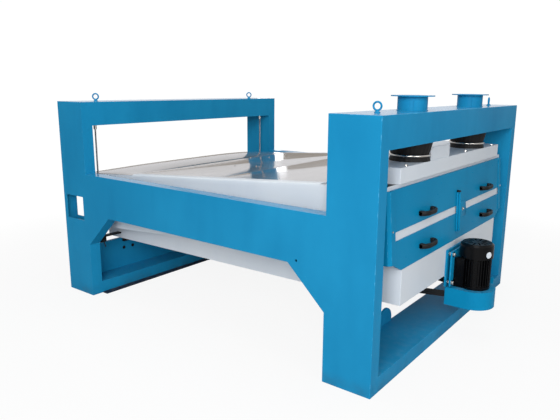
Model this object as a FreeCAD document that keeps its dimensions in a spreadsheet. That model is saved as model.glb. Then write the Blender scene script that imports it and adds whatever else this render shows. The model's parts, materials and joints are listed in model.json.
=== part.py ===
import FreeCAD
import Part
import math
import os
import Sketcher

"""A rope-hung planar rotary screen in its portal frame.

X runs along the machine from the discharge end (tail) to the inlet and drive
end (head), Y across it, Z up from the floor. The origin is on the floor, at
the middle of the whole machine's outline. All lengths are in millimetres.
"""

SIZES = {
    # portal frame, outer plate sizes
    "frame_length": 2530.0,
    "frame_width": 2100.0,
    "frame_height": 1370.0,
    "portal_depth": 280.0,
    "post_width": 80.0,
    "frame_plate": 6.0,
    "gusset_fold": 8.4,
    "top_beam_height": 160.0,
    "side_beam_top": 880.0,
    "side_beam_bottom": 600.0,
    "gusset_run": 230.0,
    "gusset_drop": 220.0,
    "cross_beam_height": 85.0,
    # access window in the discharge-end posts
    "window_inset": 32.0,
    "window_width": 198.0,
    "window_sill": 548.0,
    "window_height": 167.0,
    "side_port_inset": 455.0,
    "side_port_level": 618.0,
    "side_port_radius": 7.0,
    # feet and floor fixings
    "foot_plate": 10.0,
    "anchor_hole_radius": 9.0,
    "strip_width": 50.0,
    "strip_plate": 6.0,
    "strip_hole_radius": 7.0,
    "strip_hole_pitch": 560.0,
    # closing sheet behind the discharge-end cross beam
    "closing_inset": 108.0,
    "closing_top": 318.0,
    "closing_sheet": 4.0,
    "closing_hem": 25.0,
    "stop_length": 62.0,
    "stop_height": 26.0,
    "stop_depth": 24.0,
    "stop_offset": 625.0,
    "lug_offset": 375.0,
    "lug_radius": 80.0,
    "lug_plate": 12.0,
    "lug_rise": 20.0,
    # inlet spouts, sleeves and collars
    "spout_offset": 442.0,
    "spout_radius": 80.0,
    "spout_wall": 4.0,
    "spout_rise": 80.0,
    "spout_tail": 28.0,
    "flange_radius": 116.0,
    "flange_plate": 6.0,
    "flange_pitch_radius": 101.0,
    "flange_hole_radius": 4.5,
    "flange_hole_count": 8.0,
    "skirt_radius": 118.0,
    "sleeve_wall": 4.0,
    "sleeve_hem": 113.0,
    "collar_radius": 98.0,
    "collar_height": 52.0,
    "hoop_radius": 6.0,
    "hoop_level": 32.0,
    "fit_gap": 0.3,
    # lifting eyes and hanging ropes
    "eye_offset": 835.0,
    "eye_ring_radius": 20.0,
    "eye_wire_radius": 5.0,
    "eye_rise": 32.0,
    "eye_collar_radius": 13.0,
    "rope_inset": 215.0,
    "rope_edge": 145.0,
    "rope_radius": 6.0,
    "rope_foot": 360.0,
    "socket_radius": 11.0,
    "socket_height": 32.0,
    "clamp_width": 44.0,
    "clamp_height": 46.0,
    "lever_length": 62.0,
    "lever_radius": 4.0,
    "lever_tilt": 62.0,
    "arm_plate": 10.0,
    "arm_level": 34.0,
    "arm_size": 40.0,
    # hung screen box
    "box_tail": 75.0,
    "box_head_gap": 30.0,
    "box_side_gap": 171.0,
    "box_tail_top": 849.0,
    "box_height": 391.0,
    "box_slope": 0.0717,
    "box_sheet": 4.0,
    "outlet_half": 640.0,
    "outlet_height": 110.0,
    "outlet_sill": 120.0,
    "rim_width": 62.0,
    "rim_sheet": 4.0,
    "cover_sheet": 3.0,
    "cover_joint": 1350.0,
    "cover_rise": 16.0,
    "hood_length": 490.0,
    "hood_rise": 26.0,
    "top_frame_length": 400.0,
    "top_frame_side": 278.0,
    "top_frame_top": 1104.0,
    "divider_plate": 4.0,
    "divider_height": 77.0,
    "divider_near": -356.0,
    "divider_far": -133.0,
    "divider_inset": 48.0,
    "divider_corner": 26.0,
    # front covers
    "front_depth": 11.0,
    "front_sheet": 2.0,
    "front_top": 1002.0,
    "front_bottom": 583.0,
    "angle_bottom": 630.0,
    "cover_chamfer_run": 90.0,
    "cover_chamfer_rise": 45.0,
    "band_top": 789.0,
    "band_bottom": 742.0,
    "corner_leg": 75.0,
    "corner_face": 60.0,
    "corner_sheet": 4.0,
    "cover_lap": 25.0,
    "clamp_bar_width": 36.0,
    "clamp_bar_depth": 14.0,
    "clamp_bar_top": 872.0,
    "clamp_bar_bottom": 632.0,
    "clamp_shift": 16.0,
    "knob_height": 12.0,
    "latch_width": 128.0,
    "latch_sheet": 5.0,
    "latch_lap": 8.0,
    "handle_offset": 484.0,
    "handle_shift": 32.0,
    "handle_foot": 28.0,
    "handle_length": 178.0,
    "handle_reach": 52.0,
    "handle_height": 26.0,
    "handle_grip": 18.0,
    "handle_upper": 838.0,
    "handle_lower": 660.0,
    # collecting tray
    "tray_tail": 85.0,
    "tray_side": 300.0,
    "tray_bottom": 357.0,
    "tray_slope": 0.012,
    "tray_sheet": 4.0,
    # drive
    "shaft_height": 100.0,
    "motor_centre_gap": 127.0,
    "motor_bottom": 311.0,
    "motor_top": 590.0,
    "cowl_height": 88.0,
    "cowl_radius": 97.0,
    "cowl_crown": 12.0,
    "barrel_radius": 78.0,
    "fin_height": 12.0,
    "fin_width": 4.0,
    "fin_count": 32.0,
    "cowl_slot_count": 12.0,
    "motor_foot_height": 180.0,
    "motor_foot_half": 76.0,
    "foot_pad": 14.0,
    "box_depth": 52.0,
    "box_breadth": 88.0,
    "terminal_height": 96.0,
    "gland_radius": 9.0,
    "gland_length": 34.0,
    "gland_inset": 22.0,
    "mount_plate": 10.0,
    "mount_half": 150.0,
    "mount_bottom": 320.0,
    "mount_top": 549.0,
    "slide_half": 135.0,
    "slide_top": 540.0,
    "stud_radius": 8.0,
    "stud_overhang": 22.0,
    "stud_inset": 22.0,
    "guard_half": 125.0,
    "guard_top": 311.0,
    "guard_bottom": 201.0,
    "guard_sheet": 3.0,
    "guard_tab_height": 40.0,
    "belt_level": 262.0,
    "belt_width": 17.0,
    "belt_depth": 11.0,
    "belt_pitch": 19.0,
    "pulley_radius": 60.0,
    "wheel_radius": 250.0,
    "wheel_distance": 700.0,
    "wheel_rim": 60.0,
    "wheel_hub_radius": 62.0,
    "wheel_web": 14.0,
    "weight_height": 20.0,
    "motor_shaft_radius": 14.0,
    "wheel_shaft_radius": 27.0,
}

document = FreeCAD.newDocument("planar_rotary_screen")
sheet = document.addObject("Spreadsheet::Sheet", "sizes")
for row, (alias, amount) in enumerate(SIZES.items(), start=1):
    sheet.set("A%d" % row, alias)
    sheet.set("B%d" % row, str(amount))
    sheet.setAlias("B%d" % row, alias)
document.recompute()


class Measure:
    """A size that carries both its value and its formula on the sheet."""

    def __init__(self, value, text):
        self.value = float(value)
        self.text = text

    @staticmethod
    def of(other):
        if isinstance(other, Measure):
            return other
        return Measure(other, repr(float(other)))

    def __add__(self, other):
        other = Measure.of(other)
        return Measure(self.value + other.value, "(%s + %s)" % (self.text, other.text))

    def __radd__(self, other):
        return Measure.of(other) + self

    def __sub__(self, other):
        other = Measure.of(other)
        return Measure(self.value - other.value, "(%s - %s)" % (self.text, other.text))

    def __rsub__(self, other):
        return Measure.of(other) - self

    def __mul__(self, other):
        other = Measure.of(other)
        return Measure(self.value * other.value, "(%s * %s)" % (self.text, other.text))

    def __rmul__(self, other):
        return Measure.of(other) * self

    def __truediv__(self, other):
        other = Measure.of(other)
        return Measure(self.value / other.value, "(%s / %s)" % (self.text, other.text))

    def __neg__(self):
        return Measure(-self.value, "(0 - %s)" % self.text)


def size(alias):
    """The size that the sheet holds under this alias."""
    return Measure(sheet.get(alias), "sizes." + alias)


def bind(thing, prop, amount):
    """Ties one property of an object to the sheet."""
    thing.setExpression(prop, Measure.of(amount).text)


def place(thing, x=0, y=0, z=0, turn=None):
    """Puts an object at a place that follows the sheet, turned if asked."""
    corner = [Measure.of(part) for part in (x, y, z)]
    rotation = FreeCAD.Rotation() if turn is None else FreeCAD.Rotation(FreeCAD.Vector(*turn[0]), turn[1])
    thing.Placement = FreeCAD.Placement(FreeCAD.Vector(*[part.value for part in corner]), rotation)
    for axis, part in zip("xyz", corner):
        thing.setExpression("Placement.Base." + axis, part.text)
    return thing


def block(label, corner, extent):
    """A plain rectangular bar or plate."""
    solid = document.addObject("Part::Box", label)
    for prop, amount in zip(("Length", "Width", "Height"), extent):
        setattr(solid, prop, Measure.of(amount).value)
        bind(solid, prop, amount)
    return place(solid, *corner)


def rod(label, start, radius, length, turn=None):
    """A round bar from its start point along Z, or along the axis it is turned to."""
    solid = document.addObject("Part::Cylinder", label)
    solid.Radius = Measure.of(radius).value
    solid.Height = Measure.of(length).value
    bind(solid, "Radius", radius)
    bind(solid, "Height", length)
    return place(solid, *start, turn=turn)


ALONG_X = ((0, 1, 0), 90)
ALONG_Y = ((1, 0, 0), -90)
SIXTH = math.sin(math.pi / 3)


def cut(label, base, tools):
    """The base with every tool taken away."""
    tool = tools[0]
    if len(tools) > 1:
        tool = document.addObject("Part::MultiFuse", label + "_tools")
        tool.Shapes = tools
    result = document.addObject("Part::Cut", label)
    result.Base = base
    result.Tool = tool
    return result


def join(label, pieces):
    """Pieces welded or cast into one."""
    result = document.addObject("Part::MultiFuse", label)
    result.Shapes = pieces
    return result


def gather(label, pieces):
    """Like pieces kept together under one name, each a solid of its own."""
    result = document.addObject("Part::Compound", label)
    result.Links = pieces
    return result


def origin_plane(body, role):
    """One of the body's own origin planes."""
    return [item for item in body.Origin.OriginFeatures if item.Role == role][0]


def outline(body, name, role, loops=(), circles=()):
    """A sketch of closed outlines and circles, each point tied to the sheet."""
    sketch = body.newObject("Sketcher::SketchObject", name)
    sketch.AttachmentSupport = (origin_plane(body, role), [""])
    sketch.MapMode = "FlatFace"
    for loop in loops:
        points = [(Measure.of(a), Measure.of(b)) for a, b in loop]
        first = sketch.GeometryCount
        for index, (a, b) in enumerate(points):
            c, d = points[(index + 1) % len(points)]
            start = FreeCAD.Vector(a.value, b.value, 0)
            end = FreeCAD.Vector(c.value, d.value, 0)
            sketch.addGeometry(Part.LineSegment(start, end), False)
        for index, (a, b) in enumerate(points):
            following = first + (index + 1) % len(points)
            sketch.addConstraint(Sketcher.Constraint("Coincident", first + index, 2, following, 1))
            pin(sketch, first + index, 1, a, b)
    for across, up, radius in circles:
        across, up, radius = Measure.of(across), Measure.of(up), Measure.of(radius)
        centre = FreeCAD.Vector(across.value, up.value, 0)
        line = sketch.addGeometry(Part.Circle(centre, FreeCAD.Vector(0, 0, 1), radius.value), False)
        pin(sketch, line, 3, across, up)
        rim = sketch.addConstraint(Sketcher.Constraint("Radius", line, radius.value))
        sketch.setExpression("Constraints[%d]" % rim, radius.text)
    return sketch


def pin(sketch, line, point, across, up):
    """Ties one point of a sketch to two sizes, measured from the sketch's origin."""
    for kind, amount in (("DistanceX", across), ("DistanceY", up)):
        index = sketch.addConstraint(Sketcher.Constraint(kind, -1, 1, line, point, amount.value))
        sketch.setExpression("Constraints[%d]" % index, amount.text)


def prism(label, role, corner, length, loops=(), circles=()):
    """A profile drawn on one of the main planes and drawn out along the axis across it."""
    body = document.addObject("PartDesign::Body", label)
    sketch = outline(body, label + "_profile", role, loops, circles)
    sketch.Visibility = False
    pad = body.newObject("PartDesign::Pad", label + "_pad")
    pad.Profile = sketch
    pad.Length = Measure.of(length).value
    bind(pad, "Length", length)
    pad.Reversed = role == "XZ_Plane"
    body.Tip = pad
    return place(body, *corner)


def turned(label, corner, loop, turn=None):
    """A profile of radius and height turned about the vertical axis, or about the axis it is turned to."""
    body = document.addObject("PartDesign::Body", label)
    sketch = outline(body, label + "_profile", "XZ_Plane", [loop])
    revolution = body.newObject("PartDesign::Revolution", label + "_turn")
    revolution.Profile = sketch
    revolution.ReferenceAxis = (sketch, ["V_Axis"])
    revolution.Angle = 360
    body.Tip = revolution
    return place(body, *corner, turn=turn)


def ring(label, centre, major, minor, turn=None):
    """A six-sided bar bent into a ring."""
    half, rise = minor / 2, minor * SIXTH
    loop = [
        (major - minor, 0), (major - half, -rise), (major + half, -rise),
        (major + minor, 0), (major + half, rise), (major - half, rise),
    ]
    return turned(label, centre, loop, turn)


def rectangle(left, low, right, high):
    """The corners of an upright rectangle."""
    return [(left, low), (right, low), (right, high), (left, high)]


LENGTH = size("frame_length")
WIDTH = size("frame_width")
HEIGHT = size("frame_height")
DEPTH = size("portal_depth")
POST = size("post_width")
PLATE = size("frame_plate")
BEAM = size("top_beam_height")
CROSS = size("cross_beam_height")
GAP = size("fit_gap")

TAIL_X = -(LENGTH + size("motor_centre_gap") + size("guard_half")) / 2
HEAD_X = TAIL_X + LENGTH
NEAR_Y = -WIDTH / 2
FAR_Y = WIDTH / 2
BEAM_UNDER = HEIGHT - BEAM
SIDES = (("near", -1), ("far", 1))
ENDS = ("tail", "head")

nodes = []


def keep(node):
    """Marks an object as one of the machine's sub-parts."""
    node.Label = node.Name
    nodes.append(node)
    return node


def build_side_panels():
    """The flat outer plate of each side: two posts, the long beam and its gussets in one."""
    low = size("side_beam_bottom")
    knee = low - size("gusset_drop")
    run = size("gusset_run")
    top = size("side_beam_top")
    rim = [
        (0, 0), (DEPTH, 0), (DEPTH, knee), (DEPTH + run, low),
        (LENGTH - DEPTH - run, low), (LENGTH - DEPTH, knee), (LENGTH - DEPTH, 0), (LENGTH, 0),
        (LENGTH, HEIGHT), (LENGTH - DEPTH, HEIGHT), (LENGTH - DEPTH, top), (DEPTH, top),
        (DEPTH, HEIGHT), (0, HEIGHT),
    ]
    inset, sill = size("window_inset"), size("window_sill")
    window = rectangle(inset, sill, inset + size("window_width"), sill + size("window_height"))
    port = (LENGTH - size("side_port_inset"), size("side_port_level"), size("side_port_radius"))
    for side, y in (("near", NEAR_Y), ("far", FAR_Y - PLATE)):
        keep(prism(side + "_side_panel", "XZ_Plane", (TAIL_X, y, 0), PLATE, [rim, window], [port]))


def build_side_beams():
    """The folded channel behind each long beam, with its gusset flanges, open to the outer plate."""
    low, top = size("side_beam_bottom"), size("side_beam_top")
    knee, run = low - size("gusset_drop"), size("gusset_run")
    slant = size("gusset_fold")
    span = LENGTH - 2 * DEPTH
    rim = [(0, knee), (run, low), (span - run, low), (span, knee), (span, top), (0, top)]
    hollow = [
        (0, knee + slant), (run - PLATE / 2, low + PLATE), (span - run + PLATE / 2, low + PLATE),
        (span, knee + slant), (span, top - PLATE), (0, top - PLATE),
    ]
    depth = POST - PLATE
    for side, y, open_y in (("near", NEAR_Y + PLATE, NEAR_Y), ("far", FAR_Y - POST, FAR_Y - POST + PLATE)):
        name = side + "_side_beam"
        solid = prism(name + "_solid", "XZ_Plane", (TAIL_X + DEPTH, y, 0), depth, [rim])
        cavity = prism(name + "_cavity", "XZ_Plane", (TAIL_X + DEPTH, open_y, 0), depth, [hollow])
        keep(cut(name, solid, [cavity]))


def build_posts():
    """The folded channel of each post, closed on its outer side by the side panel."""
    deep = POST - PLATE
    profiles = {
        "near": [
            (0, 0), (PLATE, 0), (PLATE, deep - PLATE), (DEPTH - PLATE, deep - PLATE),
            (DEPTH - PLATE, 0), (DEPTH, 0), (DEPTH, deep), (0, deep),
        ],
        "far": [
            (0, 0), (DEPTH, 0), (DEPTH, deep), (DEPTH - PLATE, deep),
            (DEPTH - PLATE, PLATE), (PLATE, PLATE), (PLATE, deep), (0, deep),
        ],
    }
    lines = {"near": NEAR_Y + PLATE, "far": FAR_Y - POST}
    for end, x in (("tail", TAIL_X), ("head", HEAD_X - DEPTH)):
        for side, _ in SIDES:
            name = "%s_%s_post" % (end, side)
            if end == "head":
                keep(prism(name, "XY_Plane", (x, lines[side], 0), BEAM_UNDER, [profiles[side]]))
                continue
            channel = prism(name + "_channel", "XY_Plane", (x, lines[side], 0), BEAM_UNDER, [profiles[side]])
            web = lines[side] + (deep - PLATE if side == "near" else 0)
            corner = (x + size("window_inset"), web - 1, size("window_sill"))
            extent = (size("window_width"), PLATE + 2, size("window_height"))
            keep(cut(name, channel, [block(name + "_window", corner, extent)]))


def build_beams():
    """The box beams over the posts and the low ones between them."""
    section = [rectangle(0, 0, DEPTH, BEAM), rectangle(PLATE, PLATE, DEPTH - PLATE, BEAM - PLATE)]
    span = WIDTH - 2 * PLATE
    keep(prism("tail_top_beam", "XZ_Plane", (TAIL_X, NEAR_Y + PLATE, BEAM_UNDER), span, section))
    plain = prism("head_beam_tube", "XZ_Plane", (HEAD_X - DEPTH, NEAR_Y + PLATE, BEAM_UNDER), span, section)
    holes = []
    for side, sign in SIDES:
        start = (HEAD_X - DEPTH / 2, sign * size("spout_offset"), BEAM_UNDER - 1)
        holes.append(rod(side + "_spout_hole", start, size("spout_radius") + GAP, BEAM + 2))
    keep(cut("head_top_beam", plain, holes))
    low = [rectangle(0, 0, DEPTH, CROSS), rectangle(PLATE, PLATE, DEPTH - PLATE, CROSS - PLATE)]
    for end, x in (("tail", TAIL_X), ("head", HEAD_X - DEPTH)):
        keep(prism(end + "_cross_beam", "XZ_Plane", (x, NEAR_Y + POST, 0), WIDTH - 2 * POST, low))


def build_feet():
    """The anchor plate inside the foot of each post, and the drilled strips along the low beams."""
    plate = size("foot_plate")
    feet = []
    for end, x in (("tail", TAIL_X), ("head", HEAD_X - DEPTH)):
        for side, y in (("near", NEAR_Y + PLATE), ("far", FAR_Y - POST + PLATE)):
            name = "%s_%s_foot" % (end, side)
            extent = (DEPTH - 2 * PLATE, POST - 2 * PLATE, plate)
            slab = block(name + "_slab", (x + PLATE, y, 0), extent)
            middle = (x + DEPTH / 2, y + (POST - 2 * PLATE) / 2, -1)
            drill = rod(name + "_hole", middle, size("anchor_hole_radius"), plate + 2)
            feet.append(cut(name, slab, [drill]))
    keep(gather("post_foot_plates", feet))
    reach, thick = size("strip_width"), size("strip_plate")
    for end, x in (("tail", TAIL_X + DEPTH), ("head", HEAD_X - DEPTH - reach)):
        bar = block(end + "_strip_bar", (x, NEAR_Y + POST, 0), (reach, WIDTH - 2 * POST, thick))
        drills = []
        for index, step in enumerate((-1.5, -0.5, 0.5, 1.5)):
            centre = (x + reach / 2, size("strip_hole_pitch") * step, -1)
            drills.append(rod("%s_strip_hole_%d" % (end, index), centre, size("strip_hole_radius"), thick + 2))
        keep(cut(end + "_anchor_strip", bar, drills))


def build_tail_closing():
    """The sheet that closes the discharge end below the tray, with its hem and rubber stops."""
    top, thick, hem = size("closing_top"), size("closing_sheet"), size("closing_hem")
    fold = [(0, CROSS), (thick, CROSS), (thick, top), (-hem, top), (-hem, top - thick), (0, top - thick)]
    x = TAIL_X + size("closing_inset")
    keep(prism("tail_closing_sheet", "XZ_Plane", (x, NEAR_Y + POST, 0), WIDTH - 2 * POST, [fold]))
    stops = []
    long, tall, deep = size("stop_length"), size("stop_height"), size("stop_depth")
    for side, sign in SIDES:
        y = sign * size("stop_offset") - long / 2
        stops.append(block(side + "_stop", (x + thick, y, top - tall), (deep, long, tall)))
    keep(gather("rubber_stops", stops))


def build_head_lug():
    """The round-topped stop lug that stands on the inner edge of the inlet-end cross beam."""
    radius, thick, rise = size("lug_radius"), size("lug_plate"), size("lug_rise")
    x, y = HEAD_X - DEPTH, -size("lug_offset")
    disc = rod("lug_disc", (x, y, CROSS + rise), radius, thick, ALONG_X)
    foot = block("lug_foot", (x, y - radius, CROSS), (thick, 2 * radius, rise))
    below = block("lug_trim", (x - 1, y - radius - 1, CROSS - radius), (thick + 2, 2 * radius + 2, radius))
    keep(cut("beam_stop_lug", join("lug_whole", [disc, foot]), [below]))


def build_spouts():
    """The flanged inlet pipes through the inlet-end top beam."""
    outer, rim = size("spout_radius"), size("flange_radius")
    inner, plate = outer - size("spout_wall"), size("flange_plate")
    top, foot = HEIGHT + size("spout_rise"), BEAM_UNDER - size("spout_tail")
    loop = [(inner, foot), (outer, foot), (outer, top - plate), (rim, top - plate), (rim, top), (inner, top)]
    for side, sign in SIDES:
        name = side + "_inlet_spout"
        y = sign * size("spout_offset")
        spout = turned(name, (HEAD_X - DEPTH / 2, y, 0), loop)
        document.recompute()
        bolt = (size("flange_pitch_radius"), 0, size("flange_hole_radius"))
        drill = outline(spout, name + "_drill", "XY_Plane", [], [bolt])
        drill.AttachmentOffset = FreeCAD.Placement(FreeCAD.Vector(0, 0, top.value + 1), FreeCAD.Rotation())
        drill.setExpression("AttachmentOffset.Base.z", (top + 1).text)
        hole = spout.newObject("PartDesign::Pocket", name + "_hole")
        hole.Profile = drill
        hole.Length = (plate + 2).value
        bind(hole, "Length", plate + 2)
        document.recompute()
        pattern = spout.newObject("PartDesign::PolarPattern", name + "_holes")
        pattern.Originals = [hole]
        pattern.Axis = (drill, ["N_Axis"])
        pattern.Angle = 360
        pattern.Occurrences = int(size("flange_hole_count").value)
        pattern.setExpression("Occurrences", size("flange_hole_count").text)
        spout.Tip = pattern
        keep(spout)


def build_sleeves():
    """The rubber sleeves from the top beam to the inlet housing, each with its steel hoop."""
    skirt, wall = size("skirt_radius"), size("sleeve_wall")
    collar, hem = size("collar_radius") + GAP, size("sleeve_hem")
    bed = size("top_frame_top")
    level, mouth = bed + size("hoop_level"), BEAM_UNDER
    loop = [
        (hem - wall, bed), (hem, bed), (collar + wall, level), (skirt + wall, mouth), (skirt, mouth), (collar, level),
    ]
    hoops = []
    for side, sign in SIDES:
        y = sign * size("spout_offset")
        x = HEAD_X - DEPTH / 2
        keep(turned(side + "_inlet_sleeve", (x, y, 0), loop))
        major = collar + wall + size("hoop_radius") + GAP
        hoops.append(ring(side + "_hoop", (x, y, level), major, size("hoop_radius")))
    keep(gather("sleeve_hoops", hoops))


def build_lifting_eyes():
    """The forged eyes that stand on the top beams."""
    major, wire, rise = size("eye_ring_radius"), size("eye_wire_radius"), size("eye_rise")
    eyes = []
    for end, x in (("tail", TAIL_X + DEPTH / 2), ("head", HEAD_X - DEPTH / 2)):
        for side, sign in SIDES:
            name = "%s_%s_eye" % (end, side)
            y = sign * size("eye_offset")
            turn = ((0, 1, 0), 90) if name == "head_far_eye" else ((1, 0, 0), 90)
            loop = ring(name + "_ring", (x, y, HEIGHT + rise), major, wire, turn)
            neck = rod(name + "_neck", (x, y, HEIGHT), size("eye_collar_radius"), rise - major)
            eyes.append(join(name, [loop, neck]))
    keep(gather("lifting_eyes", eyes))


def box_line(x):
    """The height of the box's sloping top edge at a distance from the tail plane."""
    return size("box_tail_top") + size("box_slope") * (x - size("box_tail"))


def build_ropes():
    """The four wire ropes with their sockets, and the lever clamps with their arms to the tray."""
    foot, radius = size("rope_foot"), size("rope_radius")
    ropes, sockets, clamps = [], [], []
    wide, tall = size("clamp_width"), size("clamp_height")
    inset, edge = size("rope_inset"), size("rope_edge")
    arm, plate, level = size("arm_size"), size("arm_plate"), foot + size("arm_level")
    inner = WIDTH / 2 - size("tray_side")
    reach = WIDTH / 2 - edge - wide / 2 - inner
    for end, x in (("tail", TAIL_X + inset), ("head", HEAD_X - inset)):
        for side, sign in SIDES:
            name = "%s_%s" % (end, side)
            y = sign * (WIDTH / 2 - edge)
            top = BEAM_UNDER - size("socket_height")
            ropes.append(rod(name + "_rope", (x, y, foot + tall), radius, top - foot - tall))
            sockets.append(rod(name + "_socket", (x, y, top), size("socket_radius"), size("socket_height")))
            body = block(name + "_clamp_body", (x - wide / 2, y - wide / 2, foot), (wide, wide, tall))
            turn = ((0, 1, 0), 90 + size("lever_tilt").value)
            handle = (x + wide / 4, y, foot + tall / 2)
            lever = rod(name + "_lever", handle, size("lever_radius"), size("lever_length"), turn)
            lever.setExpression("Placement.Rotation.Angle", "90 + sizes.lever_tilt")
            start = y + wide / 2 if sign < 0 else inner
            flat = block(name + "_arm", (x - arm / 2, start, level), (arm, reach, plate))
            clamps.append(join(name + "_clamp", [body, lever, flat]))
    keep(gather("hanging_ropes", ropes))
    keep(gather("rope_sockets", sockets))
    keep(gather("rope_clamps", clamps))


def box_face(height):
    """How far the box's head face stands from the tail plane: it leans square to the slope."""
    middle = (size("band_top") + size("band_bottom")) / 2
    return LENGTH - size("box_head_gap") - size("box_slope") * (height - middle)


def box_corner(drop):
    """Where the leaning head face meets a line that lies this far under the box's top edge."""
    slope = size("box_slope")
    middle = (size("band_top") + size("band_bottom")) / 2
    level = LENGTH - size("box_head_gap") - slope * (box_line(0) - drop - middle)
    return level / (1 + slope * slope)


def build_screen_box():
    """The sloping sheet-metal box, open at the top, with its discharge mouth."""
    tail, thick, tall = size("box_tail"), size("box_sheet"), size("box_height")
    half = WIDTH / 2 - size("box_side_gap")
    high, low = box_corner(0), box_corner(tall)
    rim = [(tail, box_line(tail) - tall), (low, box_line(low) - tall), (high, box_line(high)), (tail, box_line(tail))]
    lean = size("box_slope") * tall * 2
    inner = [
        (tail + thick, box_line(tail + thick) - tall + thick), (low - thick, box_line(low - thick) - tall + thick),
        (low - thick - lean, box_line(low) + tall), (tail + thick, box_line(tail) + tall),
    ]
    outer_body = prism("box_outer", "XZ_Plane", (TAIL_X, -half, 0), 2 * half, [rim])
    cavity = prism("box_cavity", "XZ_Plane", (TAIL_X, thick - half, 0), 2 * (half - thick), [inner])
    mouth_half, mouth, sill = size("outlet_half"), size("outlet_height"), size("outlet_sill")
    mouth_low = box_line(tail) - tall + sill
    outlet = block("box_mouth", (TAIL_X + tail - 1, -mouth_half, mouth_low), (thick + 2, 2 * mouth_half, mouth))
    keep(cut("screen_box", outer_body, [cavity, outlet]))


def build_box_rim():
    """The folded border round the top of the box, between the hood and the inlet housing."""
    thick, wide = size("rim_sheet"), size("rim_width")
    half = WIDTH / 2 - size("box_side_gap")
    start = size("box_tail") + size("hood_length")
    stop = LENGTH - size("box_head_gap") - size("top_frame_length")
    strip = [
        (start, box_line(start)), (stop, box_line(stop)), (stop, box_line(stop) + thick), (start, box_line(start) + thick),
    ]
    rails = []
    for side, y in (("near", -half), ("far", half - wide)):
        rails.append(prism(side + "_rim_rail", "XZ_Plane", (TAIL_X, y, 0), wide, [strip]))
    keep(gather("box_rim_strips", rails))


def build_top_cover():
    """The two cross-broken top sheets: each has four shallow facets that rise to its middle."""
    thick, rise = size("cover_sheet").value, size("cover_rise").value
    half = (WIDTH / 2 - size("box_side_gap") - size("rim_width")).value
    first = size("box_tail") + size("hood_length")
    last = LENGTH - size("box_head_gap") - size("top_frame_length")
    lift = size("rim_sheet").value

    def facets(start, stop, drop):
        low, high = box_line(start).value + lift - drop, box_line(stop).value + lift - drop
        tail, head = (TAIL_X + start).value, (TAIL_X + stop).value
        corners = [
            FreeCAD.Vector(tail, -half, low), FreeCAD.Vector(head, -half, high),
            FreeCAD.Vector(head, half, high), FreeCAD.Vector(tail, half, low),
        ]
        peak = FreeCAD.Vector((tail + head) / 2, 0, (low + high) / 2 + rise)
        return corners, peak

    panels = []
    joint = size("cover_joint")
    for name, start, stop in (("tail", first, joint), ("head", joint, last)):
        upper, upper_peak = facets(start, stop, 0)
        lower, lower_peak = facets(start, stop, thick)
        faces = []
        for index in range(4):
            following = (index + 1) % 4
            for ring_points in (
                (upper[index], upper[following], upper_peak),
                (lower[following], lower[index], lower_peak),
                (upper[index], lower[index], lower[following], upper[following]),
            ):
                faces.append(Part.Face(Part.makePolygon(list(ring_points) + [ring_points[0]])))
        panel = document.addObject("Part::Feature", name + "_top_sheet")
        panel.Shape = Part.makeSolid(Part.makeShell(faces))
        panels.append(panel)
    keep(gather("top_cover", panels))


def build_tail_hood():
    """The rolled sheet over the discharge end, a shallow arch across the width."""
    start, long = size("box_tail"), size("hood_length")
    rise, thick = size("hood_rise"), size("cover_sheet")
    half = WIDTH / 2 - size("box_side_gap")
    steps = 8
    crown, under = [], []
    for index in range(steps + 1):
        share = index / steps
        x = start + long * share
        swell = rise * math.sin(math.pi * min(1.0, 0.18 + 0.82 * share))
        crown.append((x, box_line(x) + thick + swell))
        under.append((x, box_line(x) + swell))
    loop = [(start, box_line(start))] + under[1:] + crown[::-1]
    keep(prism("tail_hood", "XZ_Plane", (TAIL_X, -half, 0), 2 * half, [loop]))


def build_top_frame():
    """The inlet housing on the high end of the box, with two collars and the divider plate by its middle."""
    head = LENGTH - size("box_head_gap")
    back = head - size("top_frame_length")
    top, thick = size("top_frame_top"), size("box_sheet")
    half = WIDTH / 2 - size("top_frame_side")
    rim = [(back, box_line(back)), (head, box_line(head)), (head, top), (back, top)]
    under = box_line(back) - thick
    inner = [(back + thick, under), (head - thick, under), (head - thick, top - thick), (back + thick, top - thick)]
    shell = prism("top_frame_outer", "XZ_Plane", (TAIL_X, -half, 0), 2 * half, [rim])
    cavity = prism("top_frame_cavity", "XZ_Plane", (TAIL_X, thick - half, 0), 2 * (half - thick), [inner])
    x = HEAD_X - DEPTH / 2
    radius, tall, wall = size("collar_radius"), size("collar_height"), size("spout_wall")
    necks, bores = [], [cavity]
    for side, sign in SIDES:
        y = sign * size("spout_offset")
        necks.append(rod(side + "_collar", (x, y, top - thick), radius, tall + thick))
        bores.append(rod(side + "_collar_bore", (x, y, top - 2 * thick), radius - wall, tall + 3 * thick))
    keep(cut("inlet_housing", join("top_frame_solid", [shell] + necks), bores))
    plate, rise, corner = size("divider_plate"), size("divider_height"), size("divider_corner")
    near, far = size("divider_near"), size("divider_far")
    at = HEAD_X - size("divider_inset")
    slab = block("divider_slab", (at, near, top), (plate, far - near, rise - corner))
    crown = block("divider_crown", (at, near + corner, top), (plate, far - near - corner, rise))
    bend = rod("divider_round", (at, near + corner, top + rise - corner), corner, plate, ALONG_X)
    keep(join("inlet_divider_plate", [slab, crown, bend]))


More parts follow.
